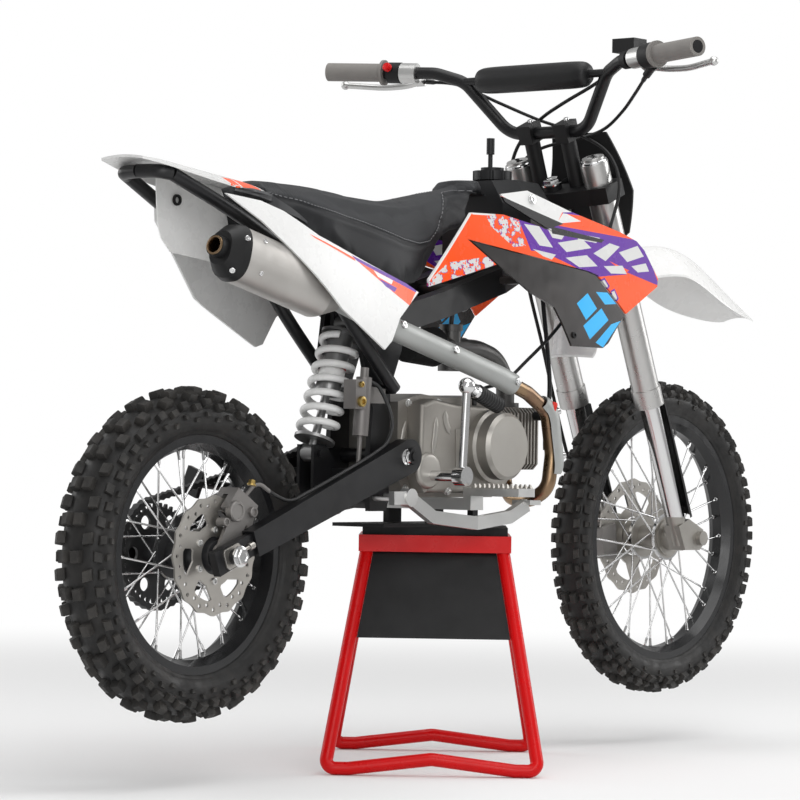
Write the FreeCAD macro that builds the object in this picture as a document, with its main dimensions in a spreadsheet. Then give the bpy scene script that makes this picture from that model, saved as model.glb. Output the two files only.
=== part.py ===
import FreeCAD, Part
import math
import os
import Sketcher

# Dirt bike held by a paddock stand, in millimetres.
# +X is forward, +Y is the rider's left and +Z is up. The origin is on the floor,
# halfway between the rear tyre's back and the front tyre's front, on the middle plane.
# "ahead" is a distance in front of the rear axle, "height" is above the floor.

SIZES = {
    # wheels
    "wheelbase": 1270.0, "rear_axle_height": 365.0, "front_axle_height": 379.5,
    "rear_tyre_radius": 265.0, "front_tyre_radius": 287.0,
    "rear_tyre_width": 98.0, "front_tyre_width": 76.0,
    "knob_height": 12.0, "tyre_wall": 7.0, "lug_length": 24.0,
    "rear_lug_pitches": 28.0, "front_lug_pitches": 32.0,
    "rear_rim_radius": 192.0, "front_rim_radius": 229.0,
    "rear_rim_width": 60.0, "front_rim_width": 48.0,
    "rim_flange_height": 13.5, "rim_wall": 3.0, "rim_well_depth": 10.0,
    "spoke_radius": 1.6, "spoke_count": 36.0, "spoke_cross_angle": 38.0, "spoke_gap": 0.7,
    "axle_radius": 7.5, "running_fit": 0.05, "seat_gap": 0.3,
    "hub_radius": 22.0, "hub_flange_radius": 42.0, "hub_flange_thickness": 6.0,
    "rear_flange_offset": 28.0, "front_flange_offset": 26.0,
    "rear_hub_half": 70.0, "front_hub_half": 62.0,
    "disc_thickness": 4.0, "disc_bore": 24.0, "disc_hub_radius": 40.0, "disc_band": 28.0,
    "rear_disc_radius": 95.0, "front_disc_radius": 106.5,
    "rear_disc_offset": 60.0, "front_disc_offset": 50.0,
    "disc_window_count": 6.0, "disc_window_radius": 9.0,
    # chain drive
    "chain_pitch": 12.7, "chain_offset": 62.0, "sprocket_teeth": 38.0, "sprocket_thickness": 5.0,
    "drive_teeth": 15.0, "drive_ahead": 492.0, "drive_height": 522.0,
    "chain_width": 14.0, "chain_height": 11.0, "chain_gap": 0.4, "chain_waist": 2.4,
    "sprocket_window_radius": 11.0, "sprocket_window_count": 6.0,
    # swingarm and shock
    "pivot_ahead": 428.0, "pivot_height": 524.0, "pivot_radius": 8.0,
    "arm_offset": 93.0, "arm_width": 25.0, "arm_height": 56.0, "arm_end_ahead": 50.0,
    "dropout_height": 40.0, "dropout_width": 14.0, "dropout_tail": 34.0,
    "arm_bridge_ahead": 345.0, "arm_bridge_depth": 46.0,
    "shock_top_ahead": 378.0, "shock_top_height": 741.0,
    "shock_bottom_ahead": 298.0, "shock_bottom_height": 527.0,
    "shock_eye_radius": 14.0, "shock_eye_width": 24.0, "shock_bolt_radius": 6.0,
    "shock_body_radius": 21.0, "shock_rod_radius": 7.0,
    "spring_radius": 31.0, "spring_wire_radius": 6.0, "spring_turns": 6.6,
    "spring_bottom_inset": 26.0, "spring_top_inset": 22.0, "perch_thickness": 5.0,
    # frame
    "rake": 22.8, "stem_to_fork": 24.0, "fork_to_axle": 36.0,
    "head_tube_start": 566.0, "head_tube_end": 664.0, "head_tube_radius": 27.0,
    "stem_radius": 15.0,
    "spar_width": 28.0, "spar_height": 44.0, "spar_offset": 63.0,
    "plate_thickness": 10.0, "plate_offset": 44.0,
    "frame_tube_radius": 11.0, "cross_tube_radius": 13.0,
    "rail_offset": 66.0,
    # engine
    "engine_rear_ahead": 440.0, "engine_front_ahead": 716.0,
    "engine_bottom": 455.0, "engine_top": 628.0, "engine_half": 98.0,
    "cover_ahead": 647.0, "cover_height": 542.0, "cover_radius": 57.0, "cover_out": 140.0,
    "barrel_front_ahead": 796.0, "head_front_ahead": 850.0, "barrel_height": 556.0,
    "barrel_half": 52.0, "barrel_core_half": 38.0, "fin_pitch": 9.0, "fin_thickness": 3.4,
    "kick_ahead": 487.0, "kick_height": 492.0, "kick_top_height": 641.0, "kick_offset": 166.0,
    # exhaust
    "pipe_radius": 12.5, "shield_radius": 19.0, "shield_offset": 118.0,
    "muffler_half_height": 45.0, "muffler_half_width": 35.0,
    "muffler_rear_ahead": -12.0, "muffler_rear_height": 836.0, "muffler_rear_offset": 104.0,
    "muffler_front_ahead": 238.0, "muffler_front_height": 778.0, "muffler_front_offset": 93.0,
    # front end
    "fork_offset": 84.0, "fork_outer_radius": 25.0, "fork_inner_radius": 18.0,
    "fork_outer_start": 276.0, "fork_top": 738.0, "fork_lug_top": 56.0,
    "lug_guard_start": 52.0, "guard_radius": 28.0, "guard_thickness": 3.0,
    "guard_low_half": 27.0, "guard_high_half": 17.0, "lug_width": 34.0, "lug_radius": 16.5, "axle_head_radius": 13.0,
    "lower_clamp_start": 528.0, "lower_clamp_height": 34.0,
    "upper_clamp_start": 668.0, "upper_clamp_height": 30.0, "clamp_half_depth": 34.0,
    "bar_ahead": 927.0, "bar_height": 1100.0, "bar_radius": 11.0, "riser_offset": 40.0,
    "bar_end_offset": 407.5, "grip_inner_offset": 300.0, "grip_radius": 16.5, "grip_flange_radius": 23.0,
    "crossbar_ahead": 882.0, "crossbar_height": 1194.0, "crossbar_half": 156.0, "crossbar_radius": 7.0,
    "bar_pad_half": 126.0, "bar_pad_radius": 25.0,
    "steering_gap": 0.4,
    # bodywork
    "panel_thickness": 4.0, "cap_ahead": 768.0, "cap_height": 1002.0, "cap_radius": 34.0,
    # pegs and pedals
    "peg_ahead": 565.0, "peg_height": 466.0, "peg_inner": 137.0, "peg_outer": 242.0,
    "peg_width": 44.0, "peg_thickness": 14.0, "peg_bar_height": 20.0, "peg_bar_width": 34.0,
    "skid_thickness": 6.0, "skid_half": 56.0, "skid_rear_ahead": 420.0, "skid_front_ahead": 706.0,
    # paddock stand
    "stand_ahead": 625.0, "stand_turn": 51.1, "stand_tube_radius": 11.0,
    "stand_half_width": 175.0, "stand_half_depth": 249.0, "stand_kink": 17.0,
    "platform_half_width": 128.0, "platform_half_depth": 115.0,
    "platform_bottom": 363.0, "platform_top": 391.0, "pad_top": 405.0, "pad_inset": 6.0,
    "sign_height": 142.0, "sign_thickness": 2.0,
}

V = FreeCAD.Vector
doc = FreeCAD.newDocument("DirtBike")
sheet = doc.addObject("Spreadsheet::Sheet", "Sizes")
for row, (name, value) in enumerate(SIZES.items(), start=1):
    sheet.set(f"A{row}", name)
    sheet.set(f"B{row}", str(value))
    sheet.setAlias(f"B{row}", name)
doc.recompute()


class Size:
    """A length or count of the sheet, kept with the expression that gives it."""

    def __init__(self, value, text):
        self.value = value
        self.text = text

    def __float__(self):
        return float(self.value)

    def __neg__(self):
        return Size(-self.value, f"(-1 * {self.text})")

    def __add__(self, other):
        other = as_size(other)
        return Size(self.value + other.value, f"({self.text} + {other.text})")

    def __sub__(self, other):
        other = as_size(other)
        return Size(self.value - other.value, f"({self.text} - {other.text})")

    def __mul__(self, other):
        other = as_size(other)
        return Size(self.value * other.value, f"({self.text} * {other.text})")

    def __truediv__(self, other):
        other = as_size(other)
        return Size(self.value / other.value, f"({self.text} / {other.text})")

    __radd__ = __add__
    __rmul__ = __mul__

    def __rsub__(self, other):
        return as_size(other) - self


def as_size(number):
    """The number itself as a Size."""
    return number if isinstance(number, Size) else Size(float(number), repr(float(number)))


def size(name):
    """A driving size read from the sheet."""
    return Size(float(sheet.get(name)), f"Sizes.{name}")


def sine(name):
    angle = size(name)
    return Size(math.sin(math.radians(angle.value)), f"sin({angle.text} * 1deg)")


def cosine(name):
    angle = size(name)
    return Size(math.cos(math.radians(angle.value)), f"cos({angle.text} * 1deg)")


def vec(x, y, z):
    return V(float(x), float(y), float(z))


wheelbase = size("wheelbase")
rear_x = -(wheelbase + size("front_tyre_radius") - size("rear_tyre_radius")) / 2
front_x = rear_x + wheelbase
rear_z = size("rear_axle_height")
front_z = size("front_axle_height")


def fore(ahead):
    """X of a place that lies ahead of the rear axle."""
    return rear_x + ahead


# The steering axis and the fork axis lie in the middle plane and lean back by the rake.
# Places on them are given by the distance up from the fork's foot.
rake_sin = sine("rake")
rake_cos = cosine("rake")
foot_x = front_x - size("fork_to_axle") * rake_cos
foot_z = front_z - size("fork_to_axle") * rake_sin
axis_foot_x = foot_x - size("stem_to_fork") * rake_cos
axis_foot_z = foot_z - size("stem_to_fork") * rake_sin
UP_FORK = vec(-rake_sin, 0, rake_cos)
AHEAD_OF_FORK = vec(rake_cos, 0, rake_sin)


def on_fork(along, offset=0.0, ahead=0.0):
    """Point on a fork leg's axis line, moved sideways and square to the leg."""
    return vec(foot_x, offset, foot_z) + UP_FORK * float(along) + AHEAD_OF_FORK * float(ahead)


def on_stem(along, offset=0.0, ahead=0.0):
    """Point on the steering axis, moved sideways and square to it."""
    return vec(axis_foot_x, offset, axis_foot_z) + UP_FORK * float(along) + AHEAD_OF_FORK * float(ahead)


# Plain helpers for solids

def bind(item, prop, number):
    """Ties a property to the sheet and gives it its first value."""
    item.setExpression(prop, as_size(number).text)


def place(item, x, y, z, axis=None, angle=0.0):
    """Sets a turned placement and ties its three coordinates to the sheet."""
    turn = FreeCAD.Rotation(axis or V(0, 0, 1), float(angle))
    item.Placement = FreeCAD.Placement(vec(x, y, z), turn)
    bind(item, "Placement.Base.x", x)
    bind(item, "Placement.Base.y", y)
    bind(item, "Placement.Base.z", z)


def new_body(name):
    return doc.addObject("PartDesign::Body", name)


def sketch_on(body, role, name, lift=None):
    sketch = body.newObject("Sketcher::SketchObject", name)
    plane = [item for item in body.Origin.OriginFeatures if item.Role == role][0]
    sketch.AttachmentSupport = [(plane, "")]
    sketch.MapMode = "FlatFace"
    if lift is not None:
        bind(sketch, "AttachmentOffset.Base.z", lift)
    return sketch


def polygon(sketch, corners):
    """Closed outline whose corners are pairs of sizes, each held by two constraints."""
    corners = [(as_size(x), as_size(y)) for x, y in corners]
    count = len(corners)
    first = sketch.GeometryCount
    for index, (x, y) in enumerate(corners):
        next_x, next_y = corners[(index + 1) % count]
        sketch.addGeometry(Part.LineSegment(vec(x, y, 0), vec(next_x, next_y, 0)), False)
    for index in range(count):
        after = first + (index + 1) % count
        sketch.addConstraint(Sketcher.Constraint("Coincident", first + index, 2, after, 1))
    for index, (x, y) in enumerate(corners):
        for kind, number in (("DistanceX", x), ("DistanceY", y)):
            place_of = sketch.addConstraint(
                Sketcher.Constraint(kind, -1, 1, first + index, 1, number.value))
            sketch.setExpression(f"Constraints[{place_of}]", number.text)


def circle(sketch, x, y, radius):
    """Circle whose centre and radius are held by the sheet."""
    x, y, radius = as_size(x), as_size(y), as_size(radius)
    index = sketch.addGeometry(Part.Circle(vec(x, y, 0), V(0, 0, 1), radius.value), False)
    held = sketch.addConstraint(Sketcher.Constraint("Radius", index, radius.value))
    sketch.setExpression(f"Constraints[{held}]", radius.text)
    for kind, number in (("DistanceX", x), ("DistanceY", y)):
        place_of = sketch.addConstraint(Sketcher.Constraint(kind, -1, 1, index, 3, number.value))
        sketch.setExpression(f"Constraints[{place_of}]", number.text)


def revolve(name, corners):
    """Ring about the Y axis from an outline of (radius, side) corners."""
    body = new_body(name)
    sketch = sketch_on(body, "XY_Plane", f"{name}_section")
    polygon(sketch, corners)
    turned = body.newObject("PartDesign::Revolution", f"{name}_turned")
    turned.Profile = sketch
    turned.ReferenceAxis = (sketch, ["V_Axis"])
    turned.Angle = 360.0
    return body


def pad(body, sketch, length, both_sides=False):
    grown = body.newObject("PartDesign::Pad", f"{sketch.Name}_pad")
    grown.Profile = sketch
    bind(grown, "Length", length)
    if both_sides:
        grown.SideType = "Symmetric"
    return grown


def box(name, length, width, height, x, y, z):
    item = doc.addObject("Part::Box", name)
    bind(item, "Length", length)
    bind(item, "Width", width)
    bind(item, "Height", height)
    place(item, x, y, z)
    return item


def group(name, items):
    """Several solids that stay apart, kept as one object whose name is the sub-part's."""
    for item in items:
        if item.Label == name:
            item.Label = f"{name}_main"
    kept = doc.addObject("Part::Compound", name)
    kept.Links = items
    kept.Label = name
    return kept


def made(name, shape, placement=None):
    """Free-form sub-part whose shape is worked out below from the sheet."""
    item = doc.addObject("Part::Feature", name)
    item.Shape = shape
    if placement is not None:
        item.Placement = placement
    return item


# Free-form shapes

def rod(start, end, radius):
    return Part.makeCylinder(float(radius), (end - start).Length, start, end - start)


def collar(start, end, outer, inner):
    """Tube from start to end."""
    return rod(start, end, outer).cut(rod(start, end, inner))


def route_edges(points, share=0.45, radius=None):
    """Straight runs joined by tangent arcs, with the arcs' radii.

    Each arc's radius is a share of its shorter run over the tangent of half the turn,
    or a set radius where the tube is bent on a former.
    """
    edges = []
    radii = []
    here = points[0]
    for index in range(1, len(points) - 1):
        before = points[index] - points[index - 1]
        after = points[index + 1] - points[index]
        turn = before.getAngle(after)
        run = min(before.Length, after.Length)
        bend = share * run / math.tan(turn / 2)
        if radius is not None:
            bend = min(bend, float(radius))
        reach = bend * math.tan(turn / 2)
        before.normalize()
        after.normalize()
        arc_start = points[index] - before * reach
        arc_end = points[index] + after * reach
        inward = after - before
        inward.normalize()
        centre = points[index] + inward * (bend / math.cos(turn / 2))
        arc_middle = centre - inward * bend
        if (arc_start - here).Length > 1e-6:
            edges.append(Part.LineSegment(here, arc_start).toShape())
        edges.append(Part.Arc(arc_start, arc_middle, arc_end).toShape())
        radii.append(bend)
        here = arc_end
    edges.append(Part.LineSegment(here, points[-1]).toShape())
    return edges, radii


def tube(points, radius, bend=None):
    """Round bar along straight runs and tangent arcs."""
    edges, radii = route_edges(points, radius=bend)
    path = Part.Wire(edges)
    start = points[1] - points[0]
    section = Part.Wire(Part.Circle(points[0], start, float(radius)).toShape())
    return path.makePipeShell([section], True, False)


def cable(name, points, radius):
    """Cable or hose along its route; the radii of its bends and its volume are printed."""
    edges, radii = route_edges(points)
    shape = tube(points, radius)
    length = sum(edge.Length for edge in edges)
    bends = ", ".join(f"{value:.0f}" for value in radii)
    ratio = shape.Volume / (math.pi * float(radius) ** 2 * length)
    print(f"{name}: length {length:.0f}, bend radii {bends}, volume ratio {ratio:.4f}")
    return made(name, shape)


def mirrored(shape):
    """The same shape on the other side of the middle plane."""
    return shape.mirror(V(0, 0, 0), V(0, 1, 0))


def both(shape):
    """A shape and its mirror image as one compound."""
    return Part.makeCompound([shape, mirrored(shape)])


def prism(points, sweep):
    """Solid from a closed outline of points carried along one vector."""
    return Part.Face(Part.makePolygon(points + [points[0]])).extrude(sweep)


def upright_prism(outline, low_y, high_y):
    """Prism across the bike from an outline of (ahead, height) pairs."""
    points = [vec(fore(ahead), low_y, height) for ahead, height in outline]
    return prism(points, V(0, float(high_y) - float(low_y), 0))


def skin(grid, sweep):
    """Curved sheet through a grid of points, thickened along one vector."""
    surface = Part.BSplineSurface()
    surface.interpolate(grid)
    return surface.toShape().extrude(sweep)


def lofted(sections):
    """Solid through closed outlines with equal numbers of corners."""
    wires = [Part.makePolygon(points + [points[0]]) for points in sections]
    return Part.makeLoft(wires, True, False)


def beam(points, width, height):
    """Square-cornered bar along points; its width lies across the bike."""
    half_width = float(width) / 2
    half_height = float(height) / 2
    rectangles = []
    for index, point in enumerate(points):
        before = points[max(index - 1, 0)]
        after = points[min(index + 1, len(points) - 1)]
        along = after - before
        square = V(-along.z, 0, along.x)
        square.normalize()
        side = V(0, half_width, 0)
        rise = square * half_height
        rectangles.append([point - side - rise, point + side - rise,
                           point + side + rise, point - side + rise])
    wires = [Part.makePolygon(corners + [corners[0]]) for corners in rectangles]
    return Part.makeLoft(wires, True, True)


# Wheels

def tyre(name, end):
    """Hollow tyre on the rim's bead seats, with rows of lugs round its crown and shoulders."""
    rim = size(f"{end}_rim_radius")
    bead = rim - size("rim_flange_height")
    inside = size(f"{end}_rim_width") / 2 - size("rim_wall")
    outer = size(f"{end}_tyre_radius")
    half = size(f"{end}_tyre_width") / 2
    knob = size("knob_height")
    wall = size("tyre_wall")
    rise = outer - rim
    outside = [(bead, inside), (rim + 2, inside), (rim + rise * 0.35, half * 0.93),
               (outer - knob * 2.4, half * 0.9), (outer - knob * 1.45, half * 0.72), (outer - knob, half * 0.4)]
    hollow = [(bead, inside - wall), (rim + 2, inside - wall), (rim + rise * 0.35, half * 0.93 - wall),
              (outer - knob * 2.6, half * 0.9 - wall), (outer - knob - wall, half * 0.36)]
    corners = outside + [(r, -y) for r, y in reversed(outside)]
    corners += [(r, -y) for r, y in hollow] + list(reversed(hollow))
    body = revolve(name, corners)
    shoulder = [(outer - knob * 2.6, half * 0.8), (outer - knob * 1.8, half * 0.58), (outer - knob * 0.3, half * 0.62),
                (outer - knob * 0.6, half * 0.84), (outer - knob * 1.7, half), (outer - knob * 2.3, half * 0.97)]
    crown = [(outer - knob * 1.25, half * 0.1), (outer, half * 0.12), (outer, half * 0.44),
             (outer - knob * 1.3, half * 0.48)]
    between_rows = [(outer - knob * 1.25, half * 0.3), (outer - knob * 0.08, half * 0.32),
                    (outer - knob * 0.25, half * 0.62), (outer - knob * 1.6, half * 0.66)]
    pitches = size(f"{end}_lug_pitches")
    lug_row(body, f"{name}_main", [crown, shoulder], pitches, size("lug_length"), 0.0)
    lug_row(body, f"{name}_gap", [between_rows], pitches, size("lug_length"), 180.0 / float(pitches))
    return body


def lug_row(body, name, outlines, pitches, length, turn):
    """Blocks on both halves of a tyre, repeated round its axle from a first row turned by an angle."""
    sketch = sketch_on(body, "XY_Plane", name)
    sketch.AttachmentOffset = FreeCAD.Placement(V(0, 0, 0), FreeCAD.Rotation(V(0, 1, 0), turn))
    for outline in outlines:
        polygon(sketch, outline)
        polygon(sketch, [(r, -y) for r, y in reversed(outline)])
    grown = pad(body, sketch, length, both_sides=True)
    ring = body.newObject("PartDesign::PolarPattern", f"{name}_ring")
    ring.Originals = [grown]
    ring.Axis = (sketch, ["V_Axis"])
    ring.Angle = 360.0
    bind(ring, "Occurrences", pitches)
    body.Tip = ring


def rim_inner_radius(end):
    return size(f"{end}_rim_radius") - size("rim_flange_height") - size("rim_well_depth") - size("rim_wall")


def rim(name, end):
    """Rim with two flanges, two bead seats and a well."""
    lip = size(f"{end}_rim_radius")
    bead = lip - size("rim_flange_height")
    well = bead - size("rim_well_depth")
    wall = size("rim_wall")
    half = size(f"{end}_rim_width") / 2
    upper = [(lip, half), (lip, half - wall), (bead, half - wall), (bead, half / 2), (well, half / 3)]
    lower = [(bead - wall, half), (well - wall, half * 0.4)]
    corners = upper + [(r, -y) for r, y in reversed(upper)]
    corners += [(r, -y) for r, y in lower] + list(reversed(lower))
    return revolve(name, corners)


def hub_corners(end, left_face, right_face):
    """Half outline of a hub: the faces are where a disc or sprocket is bolted on."""
    bore = size("axle_radius") + size("running_fit")
    nose = size("disc_bore")
    boss = size("disc_hub_radius") - 6
    flange = size("hub_flange_radius")
    barrel = size("hub_radius")
    inner = size(f"{end}_flange_offset") - size("hub_flange_thickness") / 2
    outer = inner + size("hub_flange_thickness")
    half = size(f"{end}_hub_half")
    return [(bore, half), (nose, half), (nose, left_face), (boss, left_face), (boss, outer),
            (flange, outer), (flange, inner), (barrel, inner), (barrel, -inner),
            (flange, -inner), (flange, -outer), (boss, -outer), (boss, -right_face),
            (nose, -right_face), (nose, -half), (bore, -half)]


def spokes(end):
    """Laced spokes, each set in its flange and ending just short of the rim."""
    start_radius = float(size("hub_flange_radius")) - 3.0
    end_radius = float(rim_inner_radius(end) - size("spoke_gap"))
    offset = float(size(f"{end}_flange_offset"))
    half_width = float(size(f"{end}_rim_width")) / 8
    count = int(float(size("spoke_count")))
    cross = math.radians(float(size("spoke_cross_angle")))
    radius = size("spoke_radius")
    pieces = []
    for index in range(count):
        side = 1 if index % 2 else -1
        lean = 1 if (index // 2) % 2 else -1
        at_rim = 2 * math.pi * index / count
        at_hub = at_rim + lean * cross
        hub_side = side * (offset + lean * 1.4)
        start = V(start_radius * math.cos(at_hub), hub_side, start_radius * math.sin(at_hub))
        stop = V(end_radius * math.cos(at_rim), side * half_width, end_radius * math.sin(at_rim))
        pieces.append(rod(start, stop, radius))
    return pieces


def hub(name, end, left_face, right_face):
    """Hub with its flanges and spokes."""
    turned = revolve(f"{name}_turned", hub_corners(end, left_face, right_face))
    doc.recompute()
    shape = turned.Shape.fuse(spokes(end)).removeSplitter()
    return made(name, shape)


def at_axle(item, end, side=0.0):
    """Moves a wheel's piece to its axle."""
    x, z = (rear_x, rear_z) if end == "rear" else (front_x, front_z)
    place(item, x, side, z)


def ring_plate(name, radius, bore, thickness, window_ring, window_radius, window_count):
    """Flat ring about the Y axis with a circle of round windows."""
    body = new_body(name)
    sketch = sketch_on(body, "XZ_Plane", f"{name}_ring")
    circle(sketch, 0, 0, radius)
    circle(sketch, 0, 0, bore)
    pad(body, sketch, thickness, both_sides=True)
    holes = sketch_on(body, "XZ_Plane", f"{name}_window")
    circle(holes, window_ring, 0, window_radius)
    pocket = body.newObject("PartDesign::Pocket", f"{name}_pocket")
    pocket.Profile = holes
    bind(pocket, "Length", thickness * 2)
    pocket.SideType = "Symmetric"
    pattern = body.newObject("PartDesign::PolarPattern", f"{name}_windows")
    pattern.Originals = [pocket]
    pattern.Axis = (holes, ["N_Axis"])
    pattern.Angle = 360.0
    bind(pattern, "Occurrences", window_count)
    body.Tip = pattern
    return body


def brake_disc(name, end):
    radius = size(f"{end}_disc_radius")
    ring = (size("disc_hub_radius") + radius - size("disc_band")) / 2
    return ring_plate(name, radius, size("disc_bore") + 0.1, size("disc_thickness"),
                      ring, size("disc_window_radius"), size("disc_window_count"))


def pitch_radius(teeth):
    """Pitch radius of a chain wheel: half the pitch over the sine of half a tooth's angle."""
    text = f"(Sizes.chain_pitch / (2 * sin(180deg / {teeth.text})))"
    return Size(float(size("chain_pitch")) / (2 * math.sin(math.pi / teeth.value)), text)


TOOTH_RISE = 3.0
TOOTH_ROOT = 3.5


def sprocket(name, teeth, bore, window_ring=None):
    """Toothed wheel about the Y axis."""
    pitch = pitch_radius(teeth)
    thickness = size("sprocket_thickness")
    if window_ring is None:
        body = new_body(name)
        sketch = sketch_on(body, "XZ_Plane", f"{name}_ring")
        circle(sketch, 0, 0, pitch - TOOTH_ROOT)
        circle(sketch, 0, 0, bore)
        pad(body, sketch, thickness, both_sides=True)
    else:
        body = ring_plate(name, pitch - TOOTH_ROOT, bore, thickness, window_ring,
                          size("sprocket_window_radius"), size("sprocket_window_count"))
    tooth = sketch_on(body, "XZ_Plane", f"{name}_tooth")
    base = size("chain_pitch") * 0.3
    tip = size("chain_pitch") * 0.12
    foot = pitch - TOOTH_ROOT - 1.5
    polygon(tooth, [(foot, -base), (pitch + TOOTH_RISE, -tip), (pitch + TOOTH_RISE, tip), (foot, base)])
    grown = pad(body, tooth, thickness, both_sides=True)
    teeth_ring = body.newObject("PartDesign::PolarPattern", f"{name}_teeth")
    teeth_ring.Originals = [grown]
    teeth_ring.Axis = (tooth, ["N_Axis"])
    teeth_ring.Angle = 360.0
    bind(teeth_ring, "Occurrences", teeth)
    body.Tip = teeth_ring
    return body


def chain_stations():
    """Points half a pitch apart along the pitch line, each with its outward direction."""
    rear = V(float(rear_x), 0, float(rear_z))
    drive = vec(fore(size("drive_ahead")), 0, size("drive_height"))
    rear_reach = pitch_radius(size("sprocket_teeth")).value
    drive_reach = pitch_radius(size("drive_teeth")).value
    span = drive - rear
    slope = math.atan2(span.z, span.x)
    lean = math.asin((rear_reach - drive_reach) / span.Length)
    upper = slope + math.pi / 2 - lean
    lower = slope - math.pi / 2 + lean
    straight = span.Length * math.cos(lean)
    around_rear = rear_reach * (2 * math.pi - (upper - lower))
    around_drive = drive_reach * (upper - lower)
    total = 2 * straight + around_rear + around_drive
    count = 2 * round(total / float(size("chain_pitch")))
    stations = []
    for index in range(count):
        run = total * index / count
        if run < around_rear:
            angle = upper + run / rear_reach
            centre, reach, slide = rear, rear_reach, 0.0
        elif run < around_rear + straight:
            angle = lower
            centre, reach, slide = rear, rear_reach, run - around_rear
        elif run < around_rear + straight + around_drive:
            angle = lower + (run - around_rear - straight) / drive_reach
            centre, reach, slide = drive, drive_reach, 0.0
        else:
            angle = upper
            centre, reach, slide = drive, drive_reach, run - around_rear - straight - around_drive
        outward = V(math.cos(angle), 0, math.sin(angle))
        stations.append((centre + outward * reach + V(-outward.z, 0, outward.x) * slide, outward))
    return stations


def drive_chain():
    """Fixed loop of chain just clear of the teeth's tips, drawn in between its links."""
    inner = TOOTH_RISE + float(size("chain_gap"))
    outer = inner + float(size("chain_height"))
    waist = float(size("chain_waist"))
    width = V(0, float(size("chain_width")), 0)
    outside = []
    inside = []
    for index, (point, outward) in enumerate(chain_stations()):
        draw = waist * (index % 2)
        outside.append(point + outward * (outer - draw))
        inside.append(point + outward * (inner + draw))
    faces = [Part.Face(Part.makePolygon(points + [points[0]])) for points in (outside, inside)]
    shape = faces[0].extrude(width).cut(faces[1].extrude(width))
    side = float(size("chain_offset") - size("chain_width") / 2)
    return made("drive_chain", shape, FreeCAD.Placement(V(0, side, 0), FreeCAD.Rotation()))


# Swingarm and shock

arm_slope = math.atan2(float(size("pivot_height") - rear_z), float(size("pivot_ahead")))


def along_arm(ahead, square=0.0):
    """Point beside the line from the rear axle to the pivot, in the middle plane."""
    up = V(-math.sin(arm_slope), 0, math.cos(arm_slope))
    base = vec(fore(ahead), 0, rear_z + ahead * math.tan(arm_slope))
    return base + up * float(square)


def swingarm():
    """Two box arms, their bridge, the pivot bosses and the axle's drop-outs."""
    half = float(size("arm_height")) / 2
    offset = float(size("arm_offset"))
    width = float(size("arm_width"))
    end = float(size("arm_end_ahead"))
    pivot = along_arm(float(size("pivot_ahead")))
    outline = [along_arm(end, -half * 0.75), along_arm(float(size("pivot_ahead")), -half),
               along_arm(float(size("pivot_ahead")), half), along_arm(end, half * 0.75)]
    low = V(0, offset - width / 2, 0)
    arm = prism([point + low for point in outline], V(0, width, 0))
    arm = arm.fuse(rod(pivot + low, pivot + low + V(0, width, 0), half))
    tail = -float(size("dropout_tail"))
    plate_half = float(size("dropout_height")) / 2
    plate_low = V(0, offset - float(size("dropout_width")) / 2, 0)
    plate = [along_arm(tail, -plate_half), along_arm(end + 30, -plate_half * 0.8),
             along_arm(end + 30, plate_half * 0.8), along_arm(tail, plate_half)]
    arm = arm.fuse(prism([point + plate_low for point in plate], V(0, float(size("dropout_width")), 0)))
    boss_start = float(size("plate_offset") + size("plate_thickness") / 2 + size("seat_gap"))
    arm = arm.fuse(rod(pivot + V(0, boss_start, 0), pivot + V(0, offset, 0), 11.7))
    hole = float(size("pivot_radius") + size("running_fit"))
    arm = arm.cut(rod(pivot, pivot + V(0, offset + width, 0), hole))
    axle = V(float(rear_x), 0, float(rear_z))
    arm = arm.cut(rod(axle, axle + V(0, offset + width, 0), float(size("axle_radius")) + 0.1))
    bridge_depth = float(size("arm_bridge_depth"))
    centre = along_arm(float(size("arm_bridge_ahead")), -14.0)
    corners = [centre + V(sx * bridge_depth / 2, -offset, sz * half * 0.8)
               for sx, sz in ((-1, -1), (1, -1), (1, 1), (-1, 1))]
    bridge = prism(corners, V(0, 2 * offset, 0))
    lug_base = along_arm(float(size("shock_bottom_ahead")), 0.0)
    eye = vec(fore(size("shock_bottom_ahead")), 0, size("shock_bottom_height"))
    lug_half = float(size("shock_eye_width")) / 2 + 0.3
    lugs = []
    for side in (1, -1):
        corners = [V(lug_base.x - 14, side * lug_half, lug_base.z - 20), V(centre.x, side * lug_half, centre.z - 20),
                   V(centre.x, side * lug_half, centre.z + 22), V(eye.x + 16, side * lug_half, eye.z + 14),
                   V(eye.x - 14, side * lug_half, eye.z + 14)]
        lugs.append(prism(corners, V(0, side * 6.0, 0)))
    bolt = rod(eye + V(0, -lug_half - 12, 0), eye + V(0, lug_half + 12, 0), float(size("shock_bolt_radius")))
    shape = arm.fuse([mirrored(arm), bridge] + lugs + [bolt]).removeSplitter()
    return made("swingarm", shape)


def rear_axle():
    """Axle bolt with its head, nut and the collars beside the hub."""
    offset = float(size("arm_offset") + size("dropout_width") / 2)
    inner = float(size("arm_offset") - size("dropout_width") / 2)
    hub_end = float(size("rear_hub_half") + size("steering_gap"))
    axle = V(float(rear_x), 0, float(rear_z))
    radius = float(size("axle_radius"))
    shape = rod(axle + V(0, -offset - 16, 0), axle + V(0, offset + 16, 0), radius)
    for side in (1, -1):
        shape = shape.fuse(rod(axle + V(0, side * hub_end, 0), axle + V(0, side * (inner - 0.1), 0), radius + 5))
        shape = shape.fuse(rod(axle + V(0, side * (offset + 0.1), 0), axle + V(0, side * (offset + 11), 0), radius + 5))
    return made("rear_axle", shape)


shock_top = vec(fore(size("shock_top_ahead")), 0, size("shock_top_height"))
shock_bottom = vec(fore(size("shock_bottom_ahead")), 0, size("shock_bottom_height"))
shock_line = shock_top - shock_bottom
shock_line.normalize()


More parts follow.
